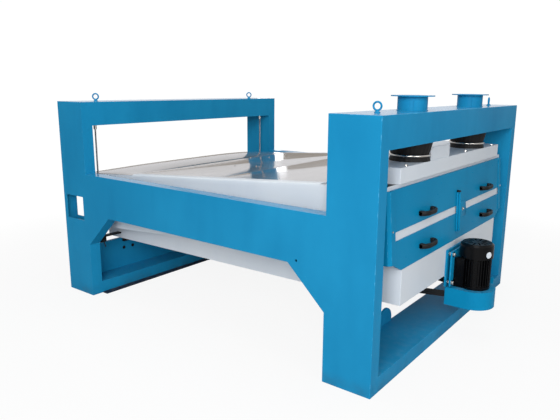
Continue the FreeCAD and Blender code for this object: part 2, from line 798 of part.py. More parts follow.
def leaned(name, piece):
    """A front piece tilted about the middle of the band, square to the sloping box."""
    angle = math.atan(size("box_slope").value)
    across = TAIL_X + LENGTH - size("box_head_gap")
    up = (size("band_top") + size("band_bottom")) / 2
    result = gather(name, [piece])
    base = FreeCAD.Vector(
        across.value * (1 - math.cos(angle)) + up.value * math.sin(angle), 0,
        up.value * (1 - math.cos(angle)) - across.value * math.sin(angle))
    result.Placement = FreeCAD.Placement(base, FreeCAD.Rotation(FreeCAD.Vector(0, -1, 0), math.degrees(angle)))
    tilt = "atan(sizes.box_slope)"
    words = (across.text, tilt, up.text, tilt)
    result.setExpression("Placement.Base.x", "%s * (1 - cos(%s)) + %s * sin(%s)" % words)
    words = (up.text, tilt, across.text, tilt)
    result.setExpression("Placement.Base.z", "%s * (1 - cos(%s)) - %s * sin(%s)" % words)
    result.setExpression("Placement.Rotation.Angle", tilt)
    return result


def pan(name, face, loop, hollow):
    """A shallow folded cover, open at the back."""
    depth, thin = size("front_depth"), size("front_sheet")
    outer = prism(name + "_outer", "YZ_Plane", (face, 0, 0), depth, [loop])
    inner = prism(name + "_hollow", "YZ_Plane", (face - 1, 0, 0), depth - thin + 1, [hollow])
    return cut(name + "_pan", outer, [inner])


def build_front():
    """The head-end covers, the pale band between them, the corner angles, clamps and handles."""
    face, depth, thin = TAIL_X + LENGTH - size("box_head_gap"), size("front_depth"), size("front_sheet")
    half = WIDTH / 2 - size("box_side_gap")
    leg, wing, fold = size("corner_leg"), size("corner_face"), size("corner_sheet")
    top, bottom = size("front_top"), size("front_bottom")
    band_low, band_high = size("band_bottom"), size("band_top")
    wide = half + fold - wing + size("cover_lap")
    run, rise = size("cover_chamfer_run"), size("cover_chamfer_rise")
    upper = pan("upper_cover", face, rectangle(-wide, band_high, wide, top),
                rectangle(thin - wide, band_high + thin, wide - thin, top - thin))
    lower = pan("lower_cover", face, [
        (-wide, bottom + rise), (run - wide, bottom), (wide - run, bottom),
        (wide, bottom + rise), (wide, band_low), (-wide, band_low),
    ], [
        (thin - wide, bottom + rise + thin), (run - wide, bottom + thin), (wide - run, bottom + thin),
        (wide - thin, bottom + rise + thin), (wide - thin, band_low - thin), (thin - wide, band_low - thin),
    ])
    keep(leaned("upper_front_cover", upper))
    keep(leaned("lower_front_cover", lower))
    strip = block("band_strip", (face, -wide, band_low), (depth / 2, 2 * wide, band_high - band_low))
    keep(leaned("front_band", strip))
    bevel = fold + depth
    reach = leg - bevel
    near = [
        (0, 0), (reach, 0), (leg, bevel), (leg, wing), (leg - fold, wing),
        (leg - fold, bevel), (reach, fold), (0, fold),
    ]
    far = [(a, wing - b) for a, b in near][::-1]
    angles = []
    foot = size("angle_bottom")
    x = face + depth + fold - leg
    for side, loop, y in (("near", near, -half - fold), ("far", far, half + fold - wing)):
        angles.append(prism(side + "_corner_angle", "XY_Plane", (x, y, foot), top - foot, [loop]))
    keep(leaned("front_corner_angles", gather("corner_pair", angles)))
    front = face + depth
    bar, deep, shift = size("clamp_bar_width"), size("clamp_bar_depth"), size("clamp_shift")
    low, high = size("clamp_bar_bottom"), size("clamp_bar_top")
    channel = [
        (0, 0), (deep, 0), (deep, bar), (0, bar), (0, bar - fold),
        (deep - fold, bar - fold), (deep - fold, fold), (0, fold),
    ]
    post = prism("centre_clamp_channel", "XY_Plane", (front, shift - bar / 2, low), high - low, [channel])
    lap = size("latch_lap")
    extent = (size("latch_sheet"), size("latch_width"), band_high - band_low + 2 * lap)
    latch = block("centre_latch", (front, shift + bar / 2, band_low - lap), extent)
    keep(leaned("centre_clamp", join("clamp_whole", [post, latch])))
    keep(leaned("clamp_knob", rod("knob_turned", (front + deep / 2, shift, high), deep / 2, size("knob_height"))))
    keep(leaned("cover_handles", build_handles(front)))


def build_handles(front):
    """The bridge handles of the two covers."""
    long, reach = size("handle_length"), size("handle_reach")
    tall, grip, foot = size("handle_height"), size("handle_grip"), size("handle_foot")
    ease = grip / 2
    outer = [
        (0, 0), (reach - grip, 0), (reach, grip), (reach, long - grip), (reach - grip, long), (0, long),
        (0, long - foot), (reach - grip - ease, long - foot), (reach - grip, long - foot - ease),
        (reach - grip, foot + ease), (reach - grip - ease, foot), (0, foot),
    ]
    handles = []
    for level in ("upper", "lower"):
        for side, sign in SIDES:
            y = sign * size("handle_offset") + size("handle_shift") - long / 2
            z = size("handle_" + level) - tall / 2
            handles.append(prism("%s_%s_handle" % (level, side), "XY_Plane", (front, y, z), tall, [outer]))
    return gather("handle_set", handles)


def tray_floor(x):
    """The height of the tray's underside at a distance from the tail plane."""
    return size("tray_bottom") + size("tray_slope") * (x - size("tray_tail"))


def tray_front():
    """How far the tray's upright head face stands from the tail plane."""
    return box_face(size("front_bottom")) + size("front_depth") - 1


def build_tray():
    """The closed collecting tray under the box, wider at its head, open at its mouth."""
    tail, thick = size("tray_tail"), size("tray_sheet")
    head, shelf, tall = tray_front(), size("front_bottom"), size("box_height")
    high = box_corner(tall)
    half = WIDTH / 2 - size("tray_side")
    rim = [
        (tail, tray_floor(tail)), (head, tray_floor(head)), (head, shelf), (box_face(shelf), shelf),
        (high, box_line(high) - tall), (tail, box_line(tail) - tall),
    ]
    back = high - thick
    inner = [
        (tail + thick, tray_floor(tail + thick) + thick), (back, tray_floor(back) + thick),
        (back, box_line(back) - tall - thick), (tail + thick, box_line(tail + thick) - tall - thick),
    ]
    outer = prism("tray_outer", "XZ_Plane", (TAIL_X, -half, 0), 2 * half, [rim])
    cavity = prism("tray_cavity", "XZ_Plane", (TAIL_X, thick - half, 0), 2 * (half - thick), [inner])
    wide, sill = size("outlet_half"), tray_floor(tail) + thick * 3
    lintel = box_line(tail) - tall - thick * 3
    mouth = block("tray_mouth", (TAIL_X + tail - 1, -wide, sill), (thick + 2, 2 * wide, lintel - sill))
    keep(cut("collecting_tray", outer, [cavity, mouth]))


def build_motor_mount():
    """The fixed and the sliding motor plate, with the studs that tension the belts."""
    face = TAIL_X + tray_front()
    plate, half = size("mount_plate"), size("mount_half")
    low, high = size("mount_bottom"), size("mount_top")
    keep(block("motor_mount_plate", (face, -half, low), (plate, 2 * half, high - low)))
    back = HEAD_X + size("motor_centre_gap") - size("shaft_height")
    wide = size("slide_half")
    keep(block("motor_slide_plate", (back - plate, -wide, low), (plate, 2 * wide, size("slide_top") - low)))
    studs = []
    inset, radius = size("stud_inset"), size("stud_radius")
    for side, sign in SIDES:
        for level, z in (("low", low + inset), ("high", size("slide_top") - inset)):
            start = (face + plate, sign * (wide - inset), z)
            gap = back - plate - face - plate
            studs.append(rod("%s_%s_stud" % (level, side), start, radius, gap, ALONG_X))
    keep(gather("tension_studs", studs))


def build_motor():
    """The foot-mounted motor, shaft down, with its finned barrel, cowl and terminal box."""
    x = HEAD_X + size("motor_centre_gap")
    low, high = size("motor_bottom"), size("motor_top")
    cowl_foot = high - size("cowl_height")
    radius, fin, thin = size("barrel_radius"), size("fin_height"), size("fin_width")
    barrel = rod("motor_barrel", (x, 0, low + thin), radius, cowl_foot - low - thin)
    shield = rod("motor_shield", (x, 0, low), radius + fin, thin * 4)
    pieces = [barrel, shield]
    count = int(size("fin_count").value)
    for index in range(count):
        angle = 360.0 * (index + 0.5) / count
        away = abs((angle + 180) % 360 - 180)
        if away > 150:
            continue
        blade = block("motor_fin_%02d" % index, (0, 0, 0), (radius + fin, thin, cowl_foot - low - thin * 8))
        turn = FreeCAD.Rotation(FreeCAD.Vector(0, 0, 1), angle)
        offset = turn.multVec(FreeCAD.Vector(0, -thin.value / 2, 0))
        blade.Placement = FreeCAD.Placement(FreeCAD.Vector(), turn)
        place_x, place_y = x + offset.x, Measure.of(offset.y)
        for axis, part in (("x", place_x), ("y", place_y), ("z", low + thin * 6)):
            blade.setExpression("Placement.Base." + axis, part.text)
        pieces.append(blade)
    back = x - size("shaft_height")
    foot_high, foot_half = size("motor_foot_height"), size("motor_foot_half")
    pad = size("foot_pad")
    middle = (low + cowl_foot) / 2
    extent = (size("shaft_height") - radius / 2, 2 * pad, foot_high)
    for side, sign in SIDES:
        corner = (back, sign * foot_half - pad, middle - foot_high / 2)
        pieces.append(block(side + "_motor_foot", corner, extent))
    tip = size("belt_level") - size("belt_pitch") * 1.5
    pieces.append(rod("motor_shaft", (x, 0, tip), size("motor_shaft_radius"), low - tip + thin))
    box_x = x - size("box_breadth") / 2
    seat = (box_x, 0, cowl_foot - size("terminal_height"))
    pieces.append(block("terminal_seat", seat, (size("box_breadth"), radius + fin, size("terminal_height") - thin)))
    keep(join("motor_body", pieces))
    build_cowl(x, cowl_foot, high)
    tall = size("terminal_height")
    corner = (box_x, radius + fin, cowl_foot - tall)
    keep(block("terminal_case", corner, (size("box_breadth"), size("box_depth"), tall)))
    start = (box_x + size("box_breadth") - size("gland_inset"), corner[1] + size("box_depth") / 2, cowl_foot)
    keep(rod("terminal_gland", start, size("gland_radius"), size("gland_length")))


def build_cowl(x, low, high):
    """The fan cowl: a dished cup whose top is pierced by a ring of slots."""
    radius, wall, crown = size("cowl_radius"), size("fin_width") / 2, size("cowl_crown")
    loop = [
        (0, high - wall), (radius - crown - wall / 2, high - wall), (radius - wall, high - crown),
        (radius - wall, low), (radius, low), (radius, high - crown), (radius - crown, high), (0, high),
    ]
    cup = turned("cowl_cup", (x, 0, 0), loop)
    slots = []
    count = int(size("cowl_slot_count").value)
    for index in range(count):
        angle = 360.0 * index / count
        slot = block("cowl_slot_%02d" % index, (0, 0, 0), (radius * 0.46, wall * 5, wall * 4))
        turn = FreeCAD.Rotation(FreeCAD.Vector(0, 0, 1), angle)
        offset = turn.multVec(FreeCAD.Vector(radius.value * 0.34, -wall.value * 2.5, 0))
        slot.Placement = FreeCAD.Placement(FreeCAD.Vector(), turn)
        for axis, part in (("x", x + offset.x), ("y", Measure.of(offset.y)), ("z", high - wall * 2.5)):
            slot.setExpression("Placement.Base." + axis, part.text)
        slots.append(slot)
    keep(cut("motor_fan_cowl", cup, slots))


def build_guard():
    """The belt guard: a round-ended sheet housing open towards the tray."""
    x = HEAD_X + size("motor_centre_gap")
    face = TAIL_X + tray_front()
    half, thin = size("guard_half"), size("guard_sheet")
    low, high = size("guard_bottom"), size("guard_top")
    nose = rod("guard_nose", (x, 0, low), half, high - low)
    run = block("guard_run", (face, -half, low), (x - face, 2 * half, high - low))
    inner_nose = rod("guard_inner_nose", (x, 0, low + thin), half - thin, high - low - 2 * thin)
    extent = (x - face + 1, 2 * (half - thin), high - low - 2 * thin)
    inner_run = block("guard_inner_run", (face - 1, thin - half, low + thin), extent)
    shaft = rod("guard_shaft_hole", (x, 0, high - thin - 1), size("motor_shaft_radius") * 2, thin + 2)
    cover = cut("guard_shell", join("guard_solid", [nose, run]), [inner_nose, inner_run, shaft])
    extent = (size("barrel_radius"), thin, size("guard_tab_height"))
    tab = block("guard_tab", (x, half - thin, high - thin), extent)
    reach = block("guard_tab_reach", (x, half - thin, high - thin), (size("barrel_radius") / 2, thin, thin))
    keep(join("belt_guard", [cover, tab, reach]))


def tangent_band(near_x, near_radius, far_x, far_radius, low, tall):
    """The solid inside a belt line that wraps two pulleys of unequal radius."""
    span = near_x - far_x
    lean = math.asin((far_radius - near_radius) / span)
    top_near = FreeCAD.Vector(near_x + near_radius * math.sin(lean), near_radius * math.cos(lean), low)
    top_far = FreeCAD.Vector(far_x + far_radius * math.sin(lean), far_radius * math.cos(lean), low)
    low_near = FreeCAD.Vector(top_near.x, -top_near.y, low)
    low_far = FreeCAD.Vector(top_far.x, -top_far.y, low)
    edges = [
        Part.LineSegment(top_far, top_near).toShape(),
        Part.Arc(top_near, FreeCAD.Vector(near_x + near_radius, 0, low), low_near).toShape(),
        Part.LineSegment(low_near, low_far).toShape(),
        Part.Arc(low_far, FreeCAD.Vector(far_x - far_radius, 0, low), top_far).toShape(),
    ]
    return Part.Face(Part.Wire(edges)).extrude(FreeCAD.Vector(0, 0, tall))


def build_drive():
    """The belts, their small pulley and the eccentric wheel that hangs under the tray."""
    x = (HEAD_X + size("motor_centre_gap"))
    wheel_x = x - size("wheel_distance")
    level, pitch = size("belt_level"), size("belt_pitch")
    wide, deep = size("belt_width"), size("belt_depth")
    small, large = size("pulley_radius"), size("wheel_radius")
    loops = []
    for index, shift in enumerate((-0.5, 0.5)):
        low = (level + pitch * shift - wide / 2).value
        outside = (x.value, (small + deep).value, wheel_x.value, (large + deep).value)
        inside = (x.value, (small + GAP).value, wheel_x.value, (large + GAP).value)
        outer = tangent_band(*outside, low, wide.value)
        inner = tangent_band(*inside, low - 1, wide.value + 2)
        belt = document.addObject("Part::Feature", "belt_loop_%d" % index)
        belt.Shape = outer.cut(inner)
        loops.append(belt)
    keep(gather("drive_belts", loops))
    tall = pitch * 2
    bore = size("motor_shaft_radius") + GAP
    sheave = rod("sheave_disc", (x, 0, level - tall / 2), small, tall)
    keep(cut("motor_pulley", sheave, [rod("sheave_bore", (x, 0, level - tall), bore, tall * 2)]))
    hub, web, shaft = size("wheel_hub_radius"), size("wheel_web"), size("wheel_shaft_radius")
    low, high = level - tall / 2, level + tall / 2
    loop = [
        (shaft + GAP, low - web), (hub, low - web), (hub, low), (large, low),
        (large, high), (hub, high), (hub, high + web), (shaft + GAP, high + web),
    ]
    wheel = turned("wheel_disc", (wheel_x, 0, 0), loop)
    heavy = size("weight_height")
    disc = rod("weight_disc", (wheel_x, 0, high), large - size("wheel_rim"), heavy)
    trim = block("weight_trim", (wheel_x - large, -large, high - 1), (2 * large, large * 1.35, heavy + 2))
    keep(join("eccentric_wheel", [wheel, cut("wheel_weight", disc, [trim])]))
    casing_foot = high + heavy + 4
    stem = rod("wheel_stem", (wheel_x, 0, low - web * 2), shaft, casing_foot - low + web * 2 + 1)
    casing = rod("wheel_bearing", (wheel_x, 0, casing_foot), hub + 10, size("tray_bottom") + heavy * 3 - casing_foot)
    at, span = wheel_x - TAIL_X, hub + 12
    above = [
        (at - span, tray_floor(at - span)), (at + span, tray_floor(at + span)),
        (at + span, tray_floor(at) + heavy * 4), (at - span, tray_floor(at) + heavy * 4),
    ]
    room = prism("bearing_trim", "XZ_Plane", (TAIL_X, -span, 0), 2 * span, [above])
    collar = rod("wheel_collar", (wheel_x, 0, low - web * 2), hub - 15, web - GAP)
    keep(join("wheel_spindle", [stem, cut("wheel_casing", casing, [room]), collar]))


def check_and_write():
    """Stops if anything failed, then writes each sub-part."""
    document.recompute()
    for item in document.Objects:
        if "Invalid" in item.State or "Error" in item.State:
            raise RuntimeError("%s failed: %s" % (item.Name, item.State))
    os.makedirs("parts", exist_ok=True)
    for node in nodes:
        shape = node.Shape
        if shape.isNull() or not shape.isValid() or not shape.Solids:
            raise RuntimeError("%s has no sound solid" % node.Label)
        shape.exportStep(os.path.join("parts", node.Label + ".step"))
        box = shape.BoundBox
        print("%-22s %d solids, volume %.3f l, x %.0f..%.0f y %.0f..%.0f z %.0f..%.0f" % (
            node.Label, len(shape.Solids), shape.Volume / 1e6,
            box.XMin, box.XMax, box.YMin, box.YMax, box.ZMin, box.ZMax))


build_side_panels()
build_side_beams()
build_posts()
build_beams()
build_feet()
build_tail_closing()
build_head_lug()
build_spouts()
build_sleeves()
build_lifting_eyes()
build_ropes()
build_screen_box()
build_box_rim()
build_top_cover()
build_tail_hood()
build_top_frame()
build_front()
build_tray()
build_motor_mount()
build_motor()
build_guard()
build_drive()
check_and_write()
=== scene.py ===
"""Looks of a rope-hung planar rotary screen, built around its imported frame.

All lengths are metres in the machine's own frame: X runs from the discharge end to
the inlet and drive end, Y goes away from the windowed near side, Z goes up from the floor.
"""

import json
import logging
import math
import random
from dataclasses import dataclass
from enum import Enum
from typing import Callable, Iterable, Mapping, Sequence

import bmesh
import bpy
from mathutils import Matrix, Vector, noise

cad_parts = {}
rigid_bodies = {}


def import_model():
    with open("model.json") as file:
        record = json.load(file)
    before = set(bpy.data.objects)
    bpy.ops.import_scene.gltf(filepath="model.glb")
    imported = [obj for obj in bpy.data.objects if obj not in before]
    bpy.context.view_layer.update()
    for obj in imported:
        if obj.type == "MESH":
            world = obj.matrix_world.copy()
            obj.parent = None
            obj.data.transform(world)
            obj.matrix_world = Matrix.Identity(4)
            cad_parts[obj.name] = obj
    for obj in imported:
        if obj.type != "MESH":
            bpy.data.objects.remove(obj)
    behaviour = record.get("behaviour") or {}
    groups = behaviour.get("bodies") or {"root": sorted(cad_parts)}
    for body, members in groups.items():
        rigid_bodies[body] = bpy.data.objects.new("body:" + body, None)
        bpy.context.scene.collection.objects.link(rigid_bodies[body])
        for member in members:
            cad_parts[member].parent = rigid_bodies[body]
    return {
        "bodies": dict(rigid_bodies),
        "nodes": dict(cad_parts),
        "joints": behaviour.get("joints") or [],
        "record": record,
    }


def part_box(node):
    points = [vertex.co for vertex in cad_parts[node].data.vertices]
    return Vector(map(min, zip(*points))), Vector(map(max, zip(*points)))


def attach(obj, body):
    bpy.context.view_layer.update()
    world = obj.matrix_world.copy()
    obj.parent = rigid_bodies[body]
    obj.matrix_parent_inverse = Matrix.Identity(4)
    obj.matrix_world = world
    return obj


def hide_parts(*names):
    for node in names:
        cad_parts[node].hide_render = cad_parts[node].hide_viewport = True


LOG = logging.getLogger("planar_rotary_screen")
BODY = "root"
MM = 0.001
EDGE_MARK = "edge"

Colour = tuple[float, float, float]
Flat = tuple[float, float]
Place = Sequence[float]


def srgb(red: int, green: int, blue: int) -> Colour:
    """Turns a colour of 0 to 255 as a screen shows it into linear light.

    Args:
        red: The red part.
        green: The green part.
        blue: The blue part.

    Returns:
        The three linear parts.
    """
    def linear(part: int) -> float:
        """One part in linear light."""
        share = part / 255.0
        return share / 12.92 if share <= 0.04045 else ((share + 0.055) / 1.055) ** 2.4

    return linear(red), linear(green), linear(blue)


# ---------------------------------------------------------------- shader maths


class Wire:
    """A node's output that can be used in Python arithmetic."""

    def __init__(self, graph: "Graph", end: bpy.types.NodeSocket) -> None:
        """Keep the graph and the socket.

        Args:
            graph: The graph that the socket belongs to.
            end: The output socket.
        """
        self.graph = graph
        self.end = end

    def _math(self, operation: str, first: object, second: object) -> "Wire":
        """One Math node over two values."""
        made = self.graph.node("ShaderNodeMath", {"operation": operation}, {0: first, 1: second})
        return Wire(self.graph, made.outputs[0])

    def __add__(self, other: object) -> "Wire":
        """Sum."""
        return self._math("ADD", self, other)

    __radd__ = __add__

    def __sub__(self, other: object) -> "Wire":
        """Difference."""
        return self._math("SUBTRACT", self, other)

    def __rsub__(self, other: object) -> "Wire":
        """Difference the other way round."""
        return self._math("SUBTRACT", other, self)

    def __mul__(self, other: object) -> "Wire":
        """Product."""
        return self._math("MULTIPLY", self, other)

    __rmul__ = __mul__

    def __truediv__(self, other: object) -> "Wire":
        """Quotient."""
        return self._math("DIVIDE", self, other)

    def __pow__(self, other: object) -> "Wire":
        """Power."""
        return self._math("POWER", self, other)

    def above(self, other: object) -> "Wire":
        """One where this is larger than the other, else nought."""
        return self._math("GREATER_THAN", self, other)

    def ramp(self, low: float, high: float) -> "Wire":
        """Spreads the stretch from low to high over nought to one, and holds its ends.

        Args:
            low: The value that becomes nought.
            high: The value that becomes one.

        Returns:
            The stretched value.
        """
        made = self.graph.node(
            "ShaderNodeMapRange", {"clamp": True, "interpolation_type": "SMOOTHSTEP"},
            {"Value": self, "From Min": low, "From Max": high},
        )
        return Wire(self.graph, made.outputs[0])


class Graph:
    """The nodes of one material."""

    def __init__(self, name: str) -> None:
        """Make the material whose tree this graph fills.

        Args:
            name: The material's name.
        """
        self.material = bpy.data.materials.new(name)
        self.material.use_nodes = True
        self.tree = self.material.node_tree
        self.tree.nodes.clear()

    def node(self, kind: str, settings: Mapping[str, object], inputs: Mapping[object, object]) -> bpy.types.Node:
        """Adds any node: its settings first, then its sockets.

        Args:
            kind: Blender's type name of the node.
            settings: Attributes of the node.
            inputs: A value or a wire for each socket, by name or number.

        Returns:
            The node.
        """
        made = self.tree.nodes.new(kind)
        for key, value in settings.items():
            setattr(made, key, value)
        for key, value in inputs.items():
            socket = made.inputs[key]
            if isinstance(value, Wire):
                self.tree.links.new(value.end, socket)
            elif isinstance(value, tuple) and len(value) == 3 and socket.type == "RGBA":
                socket.default_value = (*value, 1.0)
            else:
                socket.default_value = value
        return made

    def place(self) -> Wire:
        """The point on the machine, in metres."""
        return Wire(self, self.node("ShaderNodeTexCoord", {}, {}).outputs["Object"])

    def stretch(self, factors: Colour) -> Wire:
        """The point on the machine with each axis scaled.

        Args:
            factors: One factor for each axis.

        Returns:
            The scaled point.
        """
        made = self.node("ShaderNodeVectorMath", {"operation": "MULTIPLY"}, {0: self.place(), 1: factors})
        return Wire(self, made.outputs[0])

    def noise(self, scale: float, detail: float = 3.0, at: Wire | None = None, roughness: float = 0.55) -> Wire:
        """Cloudy noise from nought to one.

        Args:
            scale: Clouds per metre.
            detail: How many finer layers it has.
            at: Where it is read, or the point on the machine.
            roughness: How strong the finer layers are.

        Returns:
            The noise.
        """
        made = self.node(
            "ShaderNodeTexNoise", {},
            {"Vector": at or self.place(), "Scale": scale, "Detail": detail, "Roughness": roughness},
        )
        return Wire(self, made.outputs[0])

    def axis(self, output: str, letter: str) -> Wire:
        """One part of the surface's Position or Normal."""
        geometry = self.node("ShaderNodeNewGeometry", {}, {})
        split = self.node("ShaderNodeSeparateXYZ", {}, {0: Wire(self, geometry.outputs[output])})
        return Wire(self, split.outputs[letter])

    def mix(self, share: object, first: object, second: object) -> Wire:
        """A colour between two colours.

        Args:
            share: How much of the second there is.
            first: The colour at nought.
            second: The colour at one.

        Returns:
            The mixed colour.
        """
        made = self.node("ShaderNodeMix", {"data_type": "RGBA"}, {0: share, 6: first, 7: second})
        return Wire(self, made.outputs[2])

    def bump(self, height: Wire, strength: float, distance: float) -> Wire:
        """A normal that is tilted by a height.

        Args:
            height: The height, from nought to one.
            strength: How strongly it shows.
            distance: The real height of one, in metres.

        Returns:
            The normal.
        """
        made = self.node("ShaderNodeBump", {}, {"Strength": strength, "Distance": distance, "Height": height})
        return Wire(self, made.outputs[0])

    def surface(self, **sockets: object) -> bpy.types.Material:
        """Ends the graph in one Principled shader; a socket's name has _ for its spaces."""
        inputs = {key.replace("_", " "): value for key, value in sockets.items()}
        shader = self.node("ShaderNodeBsdfPrincipled", {}, inputs)
        self.node("ShaderNodeOutputMaterial", {}, {"Surface": Wire(self, shader.outputs[0])})
        return self.material


# ---------------------------------------------------------------- finishes


@dataclass(frozen=True)
class Enamel:
    """Sprayed enamel: a slight drift of colour, orange peel, fine dust, and paler edges that are partly worn paint
    and partly a painted highlight.
    """

    name: str
    colour: Colour
    drift: Colour
    rough: float = 0.34
    coat: float = 0.25
    peel: float = 0.05
    dust: float = 0.10
    # Colour of the paler eased edges: partly worn paint, partly a painted highlight.
    edge_wear_and_highlight: Colour = srgb(150, 190, 215)
    sheen: float = 0.3
    film_top: float = 0.0

    def material(self) -> bpy.types.Material:
        """Makes the finish."""
        graph = Graph(self.name)
        cloud = graph.noise(1.6, 4.0).ramp(0.3, 0.7)
        runs = graph.noise(2.2, 3.0, graph.stretch((3.0, 3.0, 0.6))).ramp(0.42, 0.72)
        base = graph.mix(cloud * 0.6 + runs * 0.25, self.colour, self.drift)
        # Paler patches on the eased edges: partly worn paint, partly a painted highlight along the edges.
        mark = graph.node("ShaderNodeAttribute", {"attribute_type": "GEOMETRY", "attribute_name": EDGE_MARK}, {})
        worn = Wire(graph, mark.outputs["Fac"]) * graph.noise(38.0, 5.0).ramp(0.5, 0.7)
        base = graph.mix(worn * 0.45, base, self.edge_wear_and_highlight)
        upward = graph.axis("Normal", "Z").ramp(0.55, 0.98)
        speck = graph.noise(24.0, 6.0).ramp(0.38, 0.75)
        film = upward * speck * self.dust
        base = graph.mix(film, base, srgb(206, 200, 190))
        low = 1.0 - graph.axis("Position", "Z").ramp(0.0, 0.09)
        base = graph.mix(low * graph.noise(9.0, 4.0).ramp(0.35, 0.75) * 0.35, base, srgb(58, 66, 74))
        gloss = graph.noise(6.0, 4.0) * 0.12 + (self.rough - 0.06) + film * 1.6 + worn * 0.2
        peel = graph.bump(graph.noise(420.0, 2.0) * 0.6 + graph.noise(60.0, 3.0) * 0.4, self.peel, 0.0012)
        polish: Wire | float = self.coat
        if self.film_top:
            above = graph.axis("Position", "Z").ramp(0.35, 0.6)
            polish = graph.axis("Normal", "Z").ramp(0.6, 0.9) * above * self.film_top
        return graph.surface(
            Base_Color=base, Roughness=gloss, Coat_Weight=polish, Coat_Roughness=0.12, Normal=peel,
            Specular_IOR_Level=self.sheen,
        )


@dataclass(frozen=True)
class Metal:
    """Bare or plated metal with fine turning or drawing marks and a little tarnish."""

    name: str
    colour: Colour
    tarnish: Colour
    rough: float = 0.28
    grain: Colour = (1.0, 1.0, 1.0)
    marks: float = 0.08

    def material(self) -> bpy.types.Material:
        """Makes the finish."""
        graph = Graph(self.name)
        patch = graph.noise(22.0, 5.0).ramp(0.4, 0.72)
        line = graph.noise(160.0, 3.0, graph.stretch(self.grain))
        base = graph.mix(patch * 0.55, self.colour, self.tarnish)
        return graph.surface(
            Base_Color=base, Metallic=1.0, Roughness=line * 0.16 + patch * 0.14 + self.rough - 0.08,
            Normal=graph.bump(line, self.marks, 0.0006),
        )


@dataclass(frozen=True)
class Rubber:
    """Black rubber or fabric-backed sheet: matt, bloomed grey here and there, faintly ribbed."""

    name: str
    colour: Colour
    bloom: Colour
    rough: float = 0.62
    rib: float = 0.25

    def material(self) -> bpy.types.Material:
        """Makes the finish."""
        graph = Graph(self.name)
        bloom = graph.noise(14.0, 5.0).ramp(0.45, 0.8)
        weave = graph.noise(300.0, 2.0)
        return graph.surface(
            Base_Color=graph.mix(bloom * 0.5, self.colour, self.bloom),
            Roughness=weave * 0.12 + bloom * 0.12 + self.rough - 0.08,
            Normal=graph.bump(weave * 0.5 + graph.noise(45.0, 3.0) * 0.5, self.rib, 0.0012),
            Specular_IOR_Level=0.3,
        )


@dataclass(frozen=True)
class Moulding:
    """Moulded plastic with a fine spark-eroded grain and polished wear."""

    name: str
    colour: Colour
    worn: Colour
    rough: float = 0.42

    def material(self) -> bpy.types.Material:
        """Makes the finish."""
        graph = Graph(self.name)
        wear = graph.noise(30.0, 4.0).ramp(0.5, 0.75)
        grain = graph.noise(900.0, 2.0)
        return graph.surface(
            Base_Color=graph.mix(wear * 0.5, self.colour, self.worn),
            Roughness=self.rough + 0.05 - wear * 0.14 + grain * 0.06,
            Normal=graph.bump(grain, 0.12, 0.0004), Specular_IOR_Level=0.3,
        )


FINISHES = {
    "frame_paint": Enamel(
        "blue frame enamel", srgb(30, 137, 183), srgb(22, 122, 168), 0.36, 0.0, dust=0.04,
        edge_wear_and_highlight=srgb(110, 185, 222), sheen=0.05, film_top=0.8,
    ),
    # This dark navy stands in for the shade at the foot of the cross beams: painted shade on the parts in this slot.
    "foot_steel": Enamel("dark primer", srgb(30, 34, 56), srgb(20, 24, 40), rough=0.5, coat=0.0, sheen=0.2),
    "black_rubber": Rubber("sleeve rubber", srgb(6, 6, 7), srgb(15, 15, 16)),
    "bright_steel": Metal("polished steel", (0.72, 0.69, 0.65), (0.36, 0.31, 0.27), 0.16),
    "rope_wire": Metal("rope wire", (0.30, 0.31, 0.33), (0.16, 0.16, 0.16), 0.38, (1.0, 1.0, 0.2), 0.2),
    "black_iron": Enamel(
        "black clamp paint", srgb(12, 12, 14), srgb(22, 22, 24), 0.45, 0.0, edge_wear_and_highlight=srgb(70, 70, 72), sheen=0.2,
    ),
    "box_paint": Enamel(
        "pale box enamel", srgb(211, 217, 223), srgb(201, 209, 218), 0.4, 0.1, 0.04, 0.06, srgb(235, 236, 238),
    ),
    "cover_gloss": Enamel(
        "glossy cover enamel", srgb(112, 110, 107), srgb(102, 99, 95), 0.15, 0.9, 0.01, 0.03,
        srgb(190, 190, 190), 0.6,
    ),
    "cover_paint": Enamel(
        "blue cover enamel", srgb(14, 132, 176), srgb(10, 120, 164), 0.3, 0.0, edge_wear_and_highlight=srgb(110, 185, 222), sheen=0.05,
    ),
    "handle_plastic": Moulding("handle plastic", srgb(6, 6, 7), srgb(18, 18, 20)),
    "motor_paint": Enamel(
        "motor black", srgb(3, 3, 4), srgb(6, 6, 8), 0.3, 0.08, 0.05, 0.02, srgb(34, 34, 38), 0.12,
    ),
    "gland_brass": Metal("gland brass", (0.72, 0.53, 0.20), (0.42, 0.30, 0.12), 0.24),
    "belt_rubber": Rubber("belt rubber", srgb(14, 14, 14), srgb(26, 26, 26), 0.5, 0.15),
    "wheel_iron": Metal("cast iron", (0.27, 0.28, 0.29), (0.16, 0.14, 0.13), 0.42, (1.0, 1.0, 1.0), 0.2),
}


# ---------------------------------------------------------------- mesh making


class Turn(Enum):
    """Which way a form that is made along Z points."""

    UP = Matrix.Identity(4)
    DOWN = Matrix.Rotation(math.pi, 4, "X")
    HEAD = Matrix.Rotation(math.pi / 2, 4, "Y")
    TAIL = Matrix.Rotation(-math.pi / 2, 4, "Y")
    FAR = Matrix.Rotation(-math.pi / 2, 4, "X")
    NEAR = Matrix.Rotation(math.pi / 2, 4, "X")


